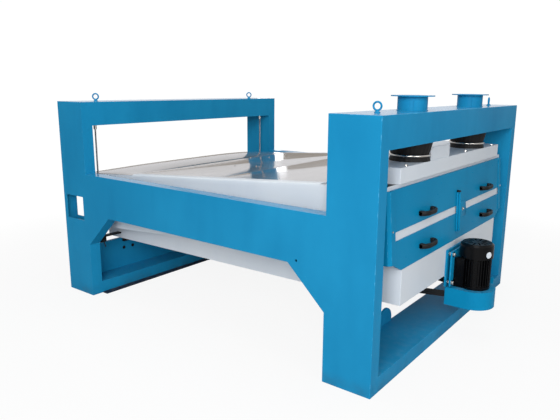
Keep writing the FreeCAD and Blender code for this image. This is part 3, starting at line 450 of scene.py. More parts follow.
class Form:
    """A mesh put together from worked shapes before it becomes a piece of the machine."""

    def __init__(self) -> None:
        """Start with an empty mesh."""
        self.mesh = bmesh.new()

    def _put(self, verts: Iterable[bmesh.types.BMVert], turn: Turn, at: Place) -> None:
        """Turns new points and moves them to their place."""
        bmesh.ops.transform(self.mesh, matrix=Matrix.Translation(Vector(at)) @ turn.value, verts=list(verts))

    def rings(self, rows: Sequence[Sequence[Place]], closed: bool = False, capped: bool = True) -> "Form":
        """Skins rows of points, each row a closed ring of the same count.

        Args:
            rows: The rings of points.
            closed: Whether the last ring joins the first.
            capped: Whether open ends get a face.

        Returns:
            This form.
        """
        made = [[self.mesh.verts.new(point) for point in row] for row in rows]
        count = len(made[0])
        pairs = list(zip(made, made[1:])) + ([(made[-1], made[0])] if closed else [])
        for first, second in pairs:
            for index in range(count):
                after = (index + 1) % count
                self.mesh.faces.new((first[index], first[after], second[after], second[index]))
        if capped and not closed:
            self.mesh.faces.new(made[0][::-1])
            self.mesh.faces.new(made[-1])
        return self

    def lathe(
        self, profile: Sequence[Flat], steps: int, at: Place, turn: Turn = Turn.UP, phase: float = 0.0,
    ) -> "Form":
        """Turns a profile of radius and height about Z; a radius of nought ends in a point.

        Args:
            profile: Radius and height pairs from one end to the other.
            steps: How many sides the turning has.
            at: Where its origin goes.
            turn: Which way it points.
            phase: The angle of its first side.

        Returns:
            This form.
        """
        fresh: list[bmesh.types.BMVert] = []
        rows: list[list[bmesh.types.BMVert]] = []
        for radius, height in profile:
            if radius < 1e-7:
                row = [self.mesh.verts.new((0.0, 0.0, height))]
            else:
                row = [
                    self.mesh.verts.new((
                        radius * math.cos(phase + math.tau * index / steps),
                        radius * math.sin(phase + math.tau * index / steps), height,
                    ))
                    for index in range(steps)
                ]
            fresh.extend(row)
            rows.append(row)
        for first, second in zip(rows, rows[1:]):
            for index in range(steps):
                after = (index + 1) % steps
                if len(first) == 1 and len(second) == 1:
                    continue
                if len(first) == 1:
                    self.mesh.faces.new((first[0], second[after], second[index]))
                elif len(second) == 1:
                    self.mesh.faces.new((first[index], first[after], second[0]))
                else:
                    self.mesh.faces.new((first[index], first[after], second[after], second[index]))
        if len(rows[0]) > 1 and profile[0] != profile[-1]:
            self.mesh.faces.new(rows[0][::-1])
        if len(rows[-1]) > 1 and profile[0] != profile[-1]:
            self.mesh.faces.new(rows[-1])
        self._put(fresh, turn, at)
        return self

    def slab(self, low: Place, high: Place, bevel: float = 0.0, steps: int = 2) -> "Form":
        """A plate or bar between two corners with its edges eased.

        Args:
            low: The lowest corner.
            high: The highest corner.
            bevel: How far the edges are eased.
            steps: How round the easing is.

        Returns:
            This form.
        """
        corners = [(x, y, z) for x in (low[0], high[0]) for y in (low[1], high[1]) for z in (low[2], high[2])]
        verts = [self.mesh.verts.new(corner) for corner in corners]
        sides = ((0, 1, 3, 2), (4, 6, 7, 5), (0, 4, 5, 1), (2, 3, 7, 6), (0, 2, 6, 4), (1, 5, 7, 3))
        faces = [self.mesh.faces.new([verts[index] for index in side]) for side in sides]
        if bevel > 0:
            edges = list({edge for face in faces for edge in face.edges})
            bmesh.ops.bevel(
                self.mesh, geom=edges, offset=bevel, segments=steps, profile=0.5, affect="EDGES", clamp_overlap=True,
            )
        return self

    def tube(self, path: Sequence[Place], radius: float, sides: int = 8, closed: bool = False) -> "Form":
        """A round bar that follows a path.

        Args:
            path: The points of its middle line.
            radius: The bar's radius.
            sides: How many sides the bar has.
            closed: Whether the path is a loop.

        Returns:
            This form.
        """
        points = [Vector(point) for point in path]
        count = len(points)
        rows, side = [], Vector((0.0, 0.0, 1.0))
        for index, point in enumerate(points):
            if closed:
                way = points[(index + 1) % count] - points[index - 1]
            else:
                way = points[min(index + 1, count - 1)] - points[max(index - 1, 0)]
            way.normalize()
            if index == 0 and abs(way.dot(side)) > 0.9:
                side = Vector((1.0, 0.0, 0.0))
            side = (side - way * side.dot(way)).normalized()
            over = way.cross(side)
            rows.append([
                point + (side * math.cos(math.tau * step / sides) + over * math.sin(math.tau * step / sides)) * radius
                for step in range(sides)
            ])
        return self.rings(rows, closed)

    def bolt(self, at: Place, turn: Turn, across: float, washer: bool = True) -> "Form":
        """A hexagon head on its washer.

        Args:
            at: The middle of the face that it sits on.
            turn: Which way the head points.
            across: The head's width across its flats.
            washer: Whether it has a washer.

        Returns:
            This form.
        """
        corner = across / math.sqrt(3.0)
        start = 0.0
        if washer:
            start = across * 0.12
            seat = [(across * 0.35, 0), (across, 0), (across, start * 0.8), (across * 0.95, start), (0, start)]
            self.lathe(seat, 20, at, turn)
        tall = across * 0.62
        self.lathe(
            [(corner, start), (corner, start + tall * 0.85), (corner * 0.86, start + tall), (0.0, start + tall)],
            6, at, turn, 0.3,
        )
        return self

    def rivet(self, at: Place, turn: Turn, radius: float) -> "Form":
        """A low domed head."""
        bends = [step * math.pi / 8 for step in range(4)]
        dome = [(radius * math.cos(bend), radius * 0.6 * math.sin(bend)) for bend in bends]
        return self.lathe([(radius, -radius * 0.2)] + dome + [(0.0, radius * 0.6)], 14, at, turn)

    def weld(self, start: Place, end: Place, radius: float, draws: random.Random) -> "Form":
        """A fillet weld: a bead of overlapping ripples.

        Args:
            start: One end of the seam.
            end: The other end.
            radius: The bead's radius.
            draws: Where its unevenness comes from.

        Returns:
            This form.
        """
        first, last = Vector(start), Vector(end)
        length = (last - first).length
        count = max(6, int(length / (radius * 1.2)))
        way = (last - first).normalized()
        side = way.orthogonal().normalized()
        over = way.cross(side)
        rows = []
        for index in range(count + 1):
            middle = first.lerp(last, index / count)
            swell = radius * (0.82 + 0.18 * (index % 2) + draws.uniform(-0.07, 0.07))
            rows.append([
                middle + (side * math.cos(math.tau * step / 8) + over * math.sin(math.tau * step / 8)) * swell
                for step in range(8)
            ])
        return self.rings(rows)

    def piece(self, name: str, smooth: float = 35.0, weighted: bool = True) -> bpy.types.Object:
        """Makes the form an object of its own.

        Args:
            name: The piece's name.
            smooth: Edges turn crisp above this many degrees.
            weighted: Whether broad faces keep their flat look beside eased edges.

        Returns:
            The object.
        """
        bmesh.ops.recalc_face_normals(self.mesh, faces=self.mesh.faces)
        data = bpy.data.meshes.new(name)
        self.mesh.to_mesh(data)
        self.mesh.free()
        made = bpy.data.objects.new(name, data)
        bpy.context.scene.collection.objects.link(made)
        data.shade_smooth()
        data.set_sharp_from_angle(angle=math.radians(smooth))
        if weighted:
            made.modifiers.new("flat faces", "WEIGHTED_NORMAL").keep_sharp = True
        return made


def welded(nodes: Mapping[str, bpy.types.Object], names: Sequence[str]) -> bmesh.types.BMesh:
    """Fuses CAD nodes into one mesh, with no seam where they are welded and ground flush.

    Args:
        nodes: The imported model's nodes by name.
        names: The nodes to fuse.

    Returns:
        The fused mesh, its flat faces whole again.
    """
    first = bpy.data.objects.new("fusing", nodes[names[0]].data.copy())
    bpy.context.scene.collection.objects.link(first)
    others = []
    for name in names[1:]:
        other = bpy.data.objects.new("fusing", nodes[name].data.copy())
        bpy.context.scene.collection.objects.link(other)
        others.append(other)
        union = first.modifiers.new("fuse", "BOOLEAN")
        union.operation, union.solver, union.object = "UNION", "EXACT", other
    mesh = bmesh.new()
    bpy.context.view_layer.update()
    mesh.from_object(first, bpy.context.evaluated_depsgraph_get())
    for spare in [first] + others:
        bpy.data.objects.remove(spare)
    flatten(mesh)
    return mesh


def squared(part: float) -> float:
    """A sine or cosine that runs round a square with soft corners."""
    return math.copysign(abs(part) ** 0.65, part)


def flatten(mesh: bmesh.types.BMesh) -> None:
    """Joins points that meet and makes each flat face one face again."""
    bmesh.ops.remove_doubles(mesh, verts=mesh.verts, dist=2e-5)
    bmesh.ops.dissolve_limit(
        mesh, angle_limit=math.radians(0.6), use_dissolve_boundaries=False, verts=mesh.verts, edges=mesh.edges,
    )


def ease(mesh: bmesh.types.BMesh, width: Callable[[bmesh.types.BMEdge], float], steps: int = 2) -> None:
    """Rounds each sharp edge of a mesh by the width that fits it.

    Args:
        mesh: The mesh to work on.
        width: Gives the width for an edge.
        steps: How round the easing is.
    """
    layer = mesh.edges.layers.float.new("bevel_weight_edge")
    groups: dict[float, list[bmesh.types.BMEdge]] = {}
    for edge in mesh.edges:
        if len(edge.link_faces) == 2 and edge.calc_face_angle(0.0) > math.radians(28):
            groups.setdefault(width(edge), []).append(edge)
    widest = max(groups)
    for amount, edges in groups.items():
        for edge in edges:
            edge[layer] = amount / widest
    spare = bpy.data.meshes.new("easing")
    mesh.to_mesh(spare)
    holder = bpy.data.objects.new("easing", spare)
    bpy.context.scene.collection.objects.link(holder)
    bevel = holder.modifiers.new("ease", "BEVEL")
    bevel.limit_method, bevel.width, bevel.segments = "WEIGHT", widest, steps
    bevel.use_clamp_overlap, bevel.miter_outer = True, "MITER_ARC"
    bpy.context.view_layer.update()
    mesh.clear()
    mesh.from_object(holder, bpy.context.evaluated_depsgraph_get())
    bpy.data.objects.remove(holder)
    rounded = mesh.faces.layers.float.new(EDGE_MARK)
    for face in mesh.faces:
        longest = max(edge.calc_length() for edge in face.edges)
        face[rounded] = float(face.calc_area() / longest < widest * 1.3)


# ---------------------------------------------------------------- the machine


class Shop:
    """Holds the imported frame, and finishes and counts each piece."""

    def __init__(self) -> None:
        """Load the frame and make a material for each slot."""
        self.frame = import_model()
        self.nodes = self.frame["nodes"]
        self.made = {slot: finish.material() for slot, finish in FINISHES.items()}
        for part in self.frame["record"]["subparts"]:
            node = self.nodes[part["node"]]
            node.data.materials.clear()
            node.data.materials.append(self.made[part["material_slot"]])
        self.slots = {part["node"]: part["material_slot"] for part in self.frame["record"]["subparts"]}
        self.draws = random.Random(41)

    def add(self, piece: bpy.types.Object, slot: str, replaces: Sequence[str] = ()) -> bpy.types.Object:
        """Gives a piece its finish and fixes it to the machine.

        Args:
            piece: The piece, in its place.
            slot: The record's material slot that it takes.
            replaces: The CAD nodes that it stands for.

        Returns:
            The piece.
        """
        piece.data.materials.clear()
        piece.data.materials.append(self.made[slot])
        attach(piece, BODY)
        if replaces:
            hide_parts(*replaces)
        LOG.info("%s: %d faces, slot %s", piece.name, len(piece.data.polygons), slot)
        return piece

    def eased(self, node: str, width: float, steps: int = 2) -> bpy.types.Object:
        """Stands a copy with eased edges in place of one CAD node.

        Args:
            node: The CAD node.
            width: How far its edges are eased.
            steps: How round they are.

        Returns:
            The piece.
        """
        form = Form()
        form.mesh.from_mesh(self.nodes[node].data)
        flatten(form.mesh)
        ease(form.mesh, lambda edge: width, steps)
        return self.add(form.piece(node + "_eased"), self.slots[node], [node])


@dataclass
class PortalFrame:
    """The welded frame: both side panels, posts and beams in one, with its welds and floor strips."""

    shop: Shop
    fold: float = 7.0 * MM
    edge: float = 1.6 * MM
    bead: float = 3.2 * MM
    parts: tuple[str, ...] = (
        "near_side_panel", "near_side_beam", "tail_near_post", "head_near_post",
        "far_side_panel", "far_side_beam", "tail_far_post", "head_far_post",
        "tail_top_beam", "head_top_beam", "tail_cross_beam", "head_cross_beam",
    )

    def build(self) -> None:
        """Makes the frame and what is welded to it."""
        low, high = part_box("near_side_panel")
        far_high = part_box("far_side_panel")[1]
        mesh = welded(self.shop.nodes, self.parts)

        def width(edge: bmesh.types.BMEdge) -> float:
            """Outer folds are rounder than cut plate edges."""
            middle = (edge.verts[0].co + edge.verts[1].co) / 2
            outer = min(abs(middle.y - low.y), abs(middle.y - far_high.y)) < 1e-4
            end = min(abs(middle.x - low.x), abs(middle.x - high.x)) < 1e-4
            top = abs(middle.z - high.z) < 1e-4
            return self.fold if (outer and end) or (top and (outer or end)) else self.edge

        ease(mesh, width, 3)
        for vert in mesh.verts:
            vert.co.z = max(vert.co.z, low.z)
        form = Form()
        form.mesh.free()
        form.mesh = mesh
        self.shop.add(form.piece("welded_frame"), "frame_paint", self.parts)
        self.beads()
        for node in (
            "tail_anchor_strip", "head_anchor_strip", "post_foot_plates", "tail_closing_sheet", "beam_stop_lug",
        ):
            self.shop.eased(node, 0.8 * MM)
        self.shop.eased("rubber_stops", 3.0 * MM, 3)
        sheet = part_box("tail_closing_sheet")[1].x
        bolts = Form()
        for y in (-642 * MM, -559 * MM, 559 * MM, 642 * MM):
            bolts.bolt((sheet, y, 238 * MM), Turn.HEAD, 13 * MM)
        self.shop.add(bolts.piece("closing_sheet_bolts", 40.0, False), "black_iron")

    def beads(self) -> None:
        """The fillet welds in the inner corners of the portals."""
        form = Form()
        for end in ("tail", "head"):
            beam_low, beam_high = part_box(end + "_top_beam")
            cross_low, cross_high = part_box(end + "_cross_beam")
            for y in (cross_low.y, cross_high.y):
                for z in (beam_low.z, cross_high.z):
                    form.weld((beam_low.x + 0.01, y, z), (beam_high.x - 0.01, y, z), self.bead, self.shop.draws)
        lug_low, lug_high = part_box("beam_stop_lug")
        form.weld((lug_high.x, lug_low.y, lug_low.z), (lug_high.x, lug_high.y, lug_low.z), self.bead, self.shop.draws)
        self.shop.add(form.piece("frame_welds", 60.0, False), "frame_paint")


@dataclass
class InletLine:
    """The flanged inlet pipes with their seams, the rubber sleeves and their hoops with a tightening bolt."""

    shop: Shop
    pleats: int = 26
    seam: float = 2.2 * MM

    def build(self) -> None:
        """Makes both inlets."""
        for side in ("near", "far"):
            low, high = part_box(side + "_inlet_spout")
            middle = (low + high) / 2
            self.sleeve(side, middle.x, middle.y)
            form = Form()
            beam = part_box("head_top_beam")[1].z
            radius = 80 * MM
            angle = math.radians(-62)
            at = Vector((middle.x + radius * math.cos(angle), middle.y + radius * math.sin(angle), 0))
            form.weld((at.x, at.y, beam), (at.x, at.y, high.z - 7 * MM), self.seam, self.shop.draws)
            foot = [
                (middle.x + (radius + 1 * MM) * math.cos(step * math.tau / 48),
                 middle.y + (radius + 1 * MM) * math.sin(step * math.tau / 48), beam + 1 * MM)
                for step in range(48)
            ]
            form.tube(foot, 3.0 * MM, 8, True)
            self.shop.add(form.piece(side + "_spout_welds", 60.0, False), "frame_paint")
        self.hoops()

    def sleeve(self, side: str, x: float, y: float) -> None:
        """A black sleeve, tied in by its hoop, with soft pleats that fade into its skirt.

        Args:
            side: Which inlet it hangs from.
            x: The middle of the inlet.
            y: The middle of the inlet.
        """
        low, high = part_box(side + "_inlet_sleeve")
        hoop_low, hoop_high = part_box("sleeve_hoops")
        tied = (hoop_low.z + hoop_high.z) / 2
        wide, neck, hem = 121.0 * MM, 101.6 * MM, 112.0 * MM
        rows = []
        steps, around = 22, 156
        for row in range(steps + 1):
            z = high.z + (low.z - high.z) * row / steps
            if z > tied:
                share = (z - tied) / (high.z - tied)
                radius = neck + (wide - neck) * share ** 0.8
                depth = 1.6 * MM * (1 - share) + 0.4 * MM
            else:
                share = (tied - z) / (tied - low.z)
                radius = neck + (hem - neck) * share ** 0.7
                depth = 1.4 * MM * share + 0.4 * MM
            ring = []
            for index in range(around):
                angle = math.tau * index / around
                wander = noise.noise(Vector((math.cos(angle) * 2, math.sin(angle) * 2, z * 14 + y))) * 1.6
                local = radius - depth * (0.5 + 0.5 * math.cos(self.pleats * angle + wander))
                ring.append((x + local * math.cos(angle), y + local * math.sin(angle), z))
            rows.append(ring)
        inner = [[(x + (px - x) * 0.965, y + (py - y) * 0.965, pz) for px, py, pz in ring] for ring in rows[::-1]]
        form = Form().rings(rows + inner, closed=True)
        self.shop.add(form.piece(side + "_pleated_sleeve", 60.0, False), "black_rubber", [side + "_inlet_sleeve"])

    def hoops(self) -> None:
        """The steel hoops: a round band with a tightening bolt."""
        low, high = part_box("sleeve_hoops")
        form = Form()
        thick = 6 * MM
        for sign in (-1, 1):
            y = sign * 442.0 * MM
            x = (low.x + high.x) / 2
            major = (high.x - low.x) / 2 - thick
            turns = [step * math.tau / 72 for step in range(72)]
            path = [(x + major * math.cos(turn), y + major * math.sin(turn), (low.z + high.z) / 2) for turn in turns]
            form.tube(path, thick, 12, True)
            at = Vector((x - major - 2 * MM, y, (low.z + high.z) / 2))
            form.slab(at - Vector((7, 11, 7)) * MM, at + Vector((2, 11, 7)) * MM, 1.5 * MM)
            form.bolt(at + Vector((-3, 11, 0)) * MM, Turn.FAR, 10 * MM)
        self.shop.add(form.piece("steel_hoops", 50.0, False), "bright_steel", ["sleeve_hoops"])


@dataclass
class HangingGear:
    """The four stranded ropes with their sockets, clamps and lever handles."""

    shop: Shop
    strands: int = 6
    lay: float = 95.0 * MM
    radius: float = 6.0 * MM
    bolt_levels: Flat = (372.0 * MM, 394.0 * MM)

    def build(self) -> None:
        """Makes the ropes and their fittings."""
        low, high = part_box("hanging_ropes")
        radius = self.radius
        form = Form()
        for x in (low.x + radius, high.x - radius):
            for y in (low.y + radius, high.y - radius):
                self.rope(form, x, y, low.z, high.z, radius)
        self.shop.add(form.piece("stranded_ropes", 80.0, False), "rope_wire", ["hanging_ropes"])
        self.shop.eased("rope_sockets", 1.5 * MM)
        self.shop.eased("rope_clamps", 3.0 * MM, 3)
        fittings = Form()
        clamp_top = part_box("rope_clamps")[1].z
        for x in (low.x + radius, high.x - radius):
            for sign, y in ((-1, low.y + radius), (1, high.y - radius)):
                for level in self.bolt_levels:
                    turn = Turn.NEAR if sign < 0 else Turn.FAR
                    fittings.bolt((x - 12 * MM, y + sign * 22 * MM, level), turn, 9 * MM)
                fittings.lathe(
                    [(9 * MM, 0), (9 * MM, 12 * MM), (7 * MM, 16 * MM), (0, 16 * MM)], 12,
                    (x, y, clamp_top), Turn.UP,
                )
        self.shop.add(fittings.piece("rope_clamp_bolts", 40.0, False), "black_iron")

    def rope(self, form: Form, x: float, y: float, low: float, high: float, radius: float) -> None:
        """One wire rope: strands laid round a core.

        Args:
            form: What it is added to.
            x: The rope's place.
            y: The rope's place.
            low: Its lower end.
            high: Its upper end.
            radius: Its radius over the strands.
        """
        strand = radius * 0.36
        steps = int((high - low) / self.lay * 14)
        for index in range(self.strands):
            path = []
            for step in range(steps + 1):
                z = low + (high - low) * step / steps
                angle = math.tau * (index / self.strands + (z - low) / self.lay)
                path.append((x + (radius - strand) * math.cos(angle), y + (radius - strand) * math.sin(angle), z))
            form.tube(path, strand, 6)
        form.tube([(x, y, low), (x, y, (low + high) / 2), (x, y, high)], strand, 6)


@dataclass
class ScreenBox:
    """The hung box with its rolled rims, domed hood, cross-broken cover, inlet housing and tray."""

    shop: Shop
    roll: float = 13.0 * MM
    screw_pitch: float = 200.0 * MM
    row_offset: float = 320.0 * MM
    bay_line: float = 1350.0 * MM
    bay_start: float = 565.0 * MM
    crease: float = 17.0 * MM
    peak_share: float = 0.68
    swell: float = 32.0 * MM
    slope: float = 0.0717

    def build(self) -> None:
        """Makes the box and everything on it."""
        self.shop.eased("screen_box", 3.0 * MM, 3)
        self.shop.eased("collecting_tray", 4.0 * MM, 3)
        self.shop.eased("inlet_housing", 2.5 * MM)
        low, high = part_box("inlet_divider_plate")
        near, round_off, front = low.y - 40 * MM, 26 * MM, high.x + 6 * MM
        outline = [(near, low.z), (high.y, low.z), (high.y, high.z - 5 * MM)]
        outline += [
            (near + round_off * (1 - math.cos(angle)), high.z - 5 * MM - round_off * (1 - math.sin(angle)))
            for angle in (math.pi / 2 * (6 - step) / 6 for step in range(7))
        ]
        plate = Form().rings([[(x, y, z) for y, z in outline] for x in (front, front + 3 * MM)])
        self.shop.add(plate.piece("divider_sheet", 30.0, False), "box_paint", ["inlet_divider_plate"])
        self.rims()
        self.hood()
        self.cover()
        self.housing_bolts()

    def line(self, x: float) -> float:
        """The height of the box's top edge."""
        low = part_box("box_rim_strips")[0]
        return low.z + self.slope * (x - low.x)

    def rims(self) -> None:
        """The border strips, rolled over the box's long edges."""
        low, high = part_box("box_rim_strips")
        form = Form()
        for sign in (-1, 1):
            edge = high.y
            section = [(edge - 62 * MM, 0.0), (edge - 62 * MM, 4 * MM), (edge - self.roll, 4.5 * MM)]
            for step in range(1, 7):
                angle = math.pi / 2 * (1 - step / 6)
                section.append((
                    edge - self.roll + (self.roll + 1.5 * MM) * math.cos(angle),
                    -self.roll + 4.5 * MM + self.roll * math.sin(angle),
                ))
            section += [(edge + 1.5 * MM, -30 * MM), (edge + 0.2 * MM, -30 * MM), (edge + 0.2 * MM, -1 * MM)]
            rows = []
            for x in (low.x, high.x):
                base = self.line(x)
                rows.append([(x, sign * across, base + up) for across, up in section])
            form.rings(rows)
        self.shop.add(form.piece("rolled_rims", 40.0), "box_paint", ["box_rim_strips"])

    def hood(self) -> None:
        """The domed sheet over the discharge end: it swells towards its middle."""
        low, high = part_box("tail_hood")
        across, along = 64, 30
        rows, under = [], []
        for step in range(along + 1):
            share = step / along
            x = low.x + (high.x - low.x) * share
            arch = math.sin(math.pi * (0.10 + 0.90 * share)) ** 0.8
            row, back = [], []
            for index in range(across + 1):
                side = 2.0 * index / across - 1.0
                pillow = 1.0 - abs(side) ** 4
                edge = max(0.0, abs(side) - 0.97) / 0.03
                up = self.swell * arch * (0.12 + 0.88 * pillow) - 4 * MM * edge ** 2
                z = low.z + self.slope * (x - low.x) + 3 * MM + up
                row.append((x, side * high.y, z))
                back.append((x, side * high.y * 0.998, z - 2.5 * MM))
            rows.append(row)
            under.append(back)
        form = Form()
        form.rings([row + back[::-1] for row, back in zip(rows, under)])
        self.shop.add(form.piece("domed_hood", 40.0, False), "cover_gloss", ["tail_hood"])

    def cover(self) -> None:
        """The two top sheets: each is broken along its diagonals and held down at its seams."""
        low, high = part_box("top_cover")
        joint = low.x + (self.bay_line - self.bay_start)
        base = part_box("box_rim_strips")[0]
        cells = 24

        def height(x: float, y: float) -> float:
            """The four facets of a sheet meet over its middle."""
            first, last = (low.x, joint) if x <= joint else (joint, high.x)
            peak = first + self.peak_share * (last - first)
            along = (peak - x) / (peak - first) if x < peak else (x - peak) / (last - peak)
            share = 1.0 - max(along, abs(y) / high.y)
            soft = share + 0.02 * (1.0 - math.exp(-share * 20.0))
            return base.z + self.slope * (x - base.x) + 4.0 * MM + self.crease * soft

        form = Form()
        for first, last in ((low.x, joint), (joint, high.x)):
            tops, unders = [], []
            for row in range(cells + 1):
                x = first + (last - first) * row / cells
                at = min(max(x, first + 1e-6), last - 1e-6)
                line = [-high.y + 2.0 * high.y * column / cells for column in range(cells + 1)]
                tops.append([form.mesh.verts.new((x, y, height(at, y))) for y in line])
                unders.append([form.mesh.verts.new((x, y, height(at, y) - 2 * MM)) for y in line])
            for row in range(cells):
                for column in range(cells):
                    for grid, order in ((tops, 1), (unders, -1)):
                        corners = (
                            grid[row][column], grid[row + 1][column],
                            grid[row + 1][column + 1], grid[row][column + 1],
                        )
                        form.mesh.faces.new(corners[::order])
            rim = [(row, 0) for row in range(cells)] + [(cells, column) for column in range(cells)]
            rim += [(cells - row, cells) for row in range(cells)] + [(0, cells - column) for column in range(cells)]
            for (row, column), (row_b, column_b) in zip(rim, rim[1:] + rim[:1]):
                form.mesh.faces.new((
                    tops[row][column], unders[row][column], unders[row_b][column_b], tops[row_b][column_b],
                ))
        self.shop.add(form.piece("broken_top_cover", 50.0, False), "cover_gloss", ["top_cover"])
        screws = Form()
        for y in (-self.row_offset, self.row_offset):
            for step in range(8):
                x = low.x + 35 * MM + step * self.screw_pitch
                screws.bolt((x, y, height(x, y) - 0.3 * MM), Turn.UP, 7 * MM)
        self.shop.add(screws.piece("cover_screws", 40.0, False), "bright_steel")

    def housing_bolts(self) -> None:
        """Small bolts along the front edge of the inlet housing's top."""
        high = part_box("inlet_housing")[1]
        form = Form()
        for y in (-679 * MM, 168 * MM, 679 * MM):
            form.bolt((high.x - 17 * MM, y, 1104 * MM), Turn.UP, 10 * MM)
        self.shop.add(form.piece("housing_bolts", 40.0, False), "bright_steel")


@dataclass
class FrontEnd:
    """The covers of the inlet end with their folds, angles, clamp, latch, bolts and handles."""

    shop: Shop
    lean: float = 0.0717
    shift: float = 32.0 * MM
    tilt: float = -4.0

    def face(self, z: float) -> float:
        """How far out the leaning covers are at a height."""
        low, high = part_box("upper_front_cover")
        return high.x - self.lean * (z - low.z)

    def build(self) -> None:
        """Makes the front."""
        for node in ("upper_front_cover", "lower_front_cover"):
            self.shop.eased(node, 1.8 * MM, 3)
        self.shop.eased("front_corner_angles", 1.6 * MM)
        self.shop.eased("front_band", 1.0 * MM)
        self.clamp()
        self.handles()
        self.bolts()

    def clamp(self) -> None:
        """The centre clamp: an open channel that leans on the covers, its latch plate and its knob."""
        tall, wide, deep, wall = 240 * MM, 36 * MM, 14 * MM, 2.5 * MM
        form = Form()
        form.slab((0, -wide / 2, -tall / 2), (wall, wide / 2, tall / 2), 0.6 * MM, 2)
        form.slab((0, -wide / 2, -tall / 2), (deep * 0.6, wall - wide / 2, tall / 2), 0.8 * MM, 2)
        form.slab((0, wide / 2 - wall, -tall / 2), (deep, wide / 2, tall / 2), 0.8 * MM, 2)
        form.slab((0, -wide / 2, tall / 2 - wall), (deep, wide / 2, tall / 2), 0.8 * MM, 2)
        form.slab((0, -wide / 2, -tall / 2), (deep, wide / 2, wall - tall / 2), 0.8 * MM, 2)
        lean = Matrix.Rotation(-math.atan(self.lean), 4, "Y")
        place = Matrix.Translation((self.face(752 * MM) + 1 * MM, self.shift / 2, 752 * MM))
        bmesh.ops.transform(
            form.mesh, matrix=place @ lean @ Matrix.Rotation(math.radians(self.tilt), 4, "X"), verts=form.mesh.verts,
        )
        latch = Form()
        latch.slab((0, 0, -47 * MM), (3 * MM, 128 * MM, 47 * MM), 0.8 * MM, 2)
        level = 757 * MM
        bmesh.ops.transform(
            latch.mesh, matrix=Matrix.Translation((self.face(level) + 1 * MM, 33 * MM, level)) @ lean,
            verts=latch.mesh.verts,
        )
        self.shop.add(form.piece("clamp_channel", 40.0, False), "cover_paint", ["centre_clamp"])
        self.shop.add(latch.piece("latch_plate", 40.0, False), "cover_paint")
        knob_low, knob_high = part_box("clamp_knob")
        knob = Form().lathe(
            [(0, 0), (9 * MM, 0), (16 * MM, 4 * MM), (16 * MM, 7 * MM), (11 * MM, 11 * MM), (0, 12 * MM)], 32,
            ((knob_low.x + knob_high.x) / 2, (knob_low.y + knob_high.y) / 2 + 8 * MM, knob_low.z), Turn.UP,
        )
        self.shop.add(knob.piece("flat_knob", 40.0, False), "handle_plastic", ["clamp_knob"])

    def handles(self) -> None:
        """Bow handles: a round-backed grip that runs down into two broad feet."""
        form = Form()
        long, reach, width, steps = 178.0 * MM, 52.0 * MM, 13.0 * MM, 36
        for z in (660 * MM, 838 * MM):
            x = self.face(z) - 1 * MM
            for sign in (-1, 1):
                y = sign * 484 * MM + self.shift
                rows = []
                for step in range(steps + 1):
                    share = 2.0 * step / steps - 1.0
                    lift = (1.0 - abs(share) ** 4.0) * (reach - 19 * MM)
                    thick = (18.0 + 2.0 * abs(share) ** 4) * MM
                    rows.append([(
                        x + 1 * MM + lift + thick * (0.5 + 0.5 * squared(math.cos(math.tau * index / 16))),
                        y + share * (long / 2 - 1 * MM), z + width * squared(math.sin(math.tau * index / 16)),
                    ) for index in range(16)])
                form.rings(rows)
                for end in (-1, 1):
                    foot = y + end * (long / 2 - 15 * MM)
                    form.slab(
                        (x - 1 * MM, foot - 14 * MM, z - width),
                        (x + 24 * MM, foot + 14 * MM, z + width), 4 * MM, 3,
                    )
        self.shop.add(form.piece("bow_handles", 45.0, False), "handle_plastic", ["cover_handles"])

    def bolts(self) -> None:
        """The bolts of the corner angles and latch, and the covers' painted rivets."""
        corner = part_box("front_corner_angles")[1]
        form = Form()
        for sign in (-1, 1):
            form.bolt((self.face(800 * MM) + 2 * MM, sign * (corner.y - 28 * MM), 800 * MM), Turn.HEAD, 9 * MM)
        form.bolt((self.face(757 * MM) + 5 * MM, 84 * MM + self.shift / 2, 757 * MM), Turn.HEAD, 11 * MM)
        self.shop.add(form.piece("front_bolts", 40.0, False), "bright_steel")
        rivets = Form()
        for y in (-700 * MM, -230 * MM, 290 * MM, 700 * MM):
            for z in (960 * MM, 640 * MM):
                rivets.rivet((self.face(z), y, z), Turn.HEAD, 4 * MM)
        self.shop.add(rivets.piece("cover_rivets", 40.0, False), "cover_paint")


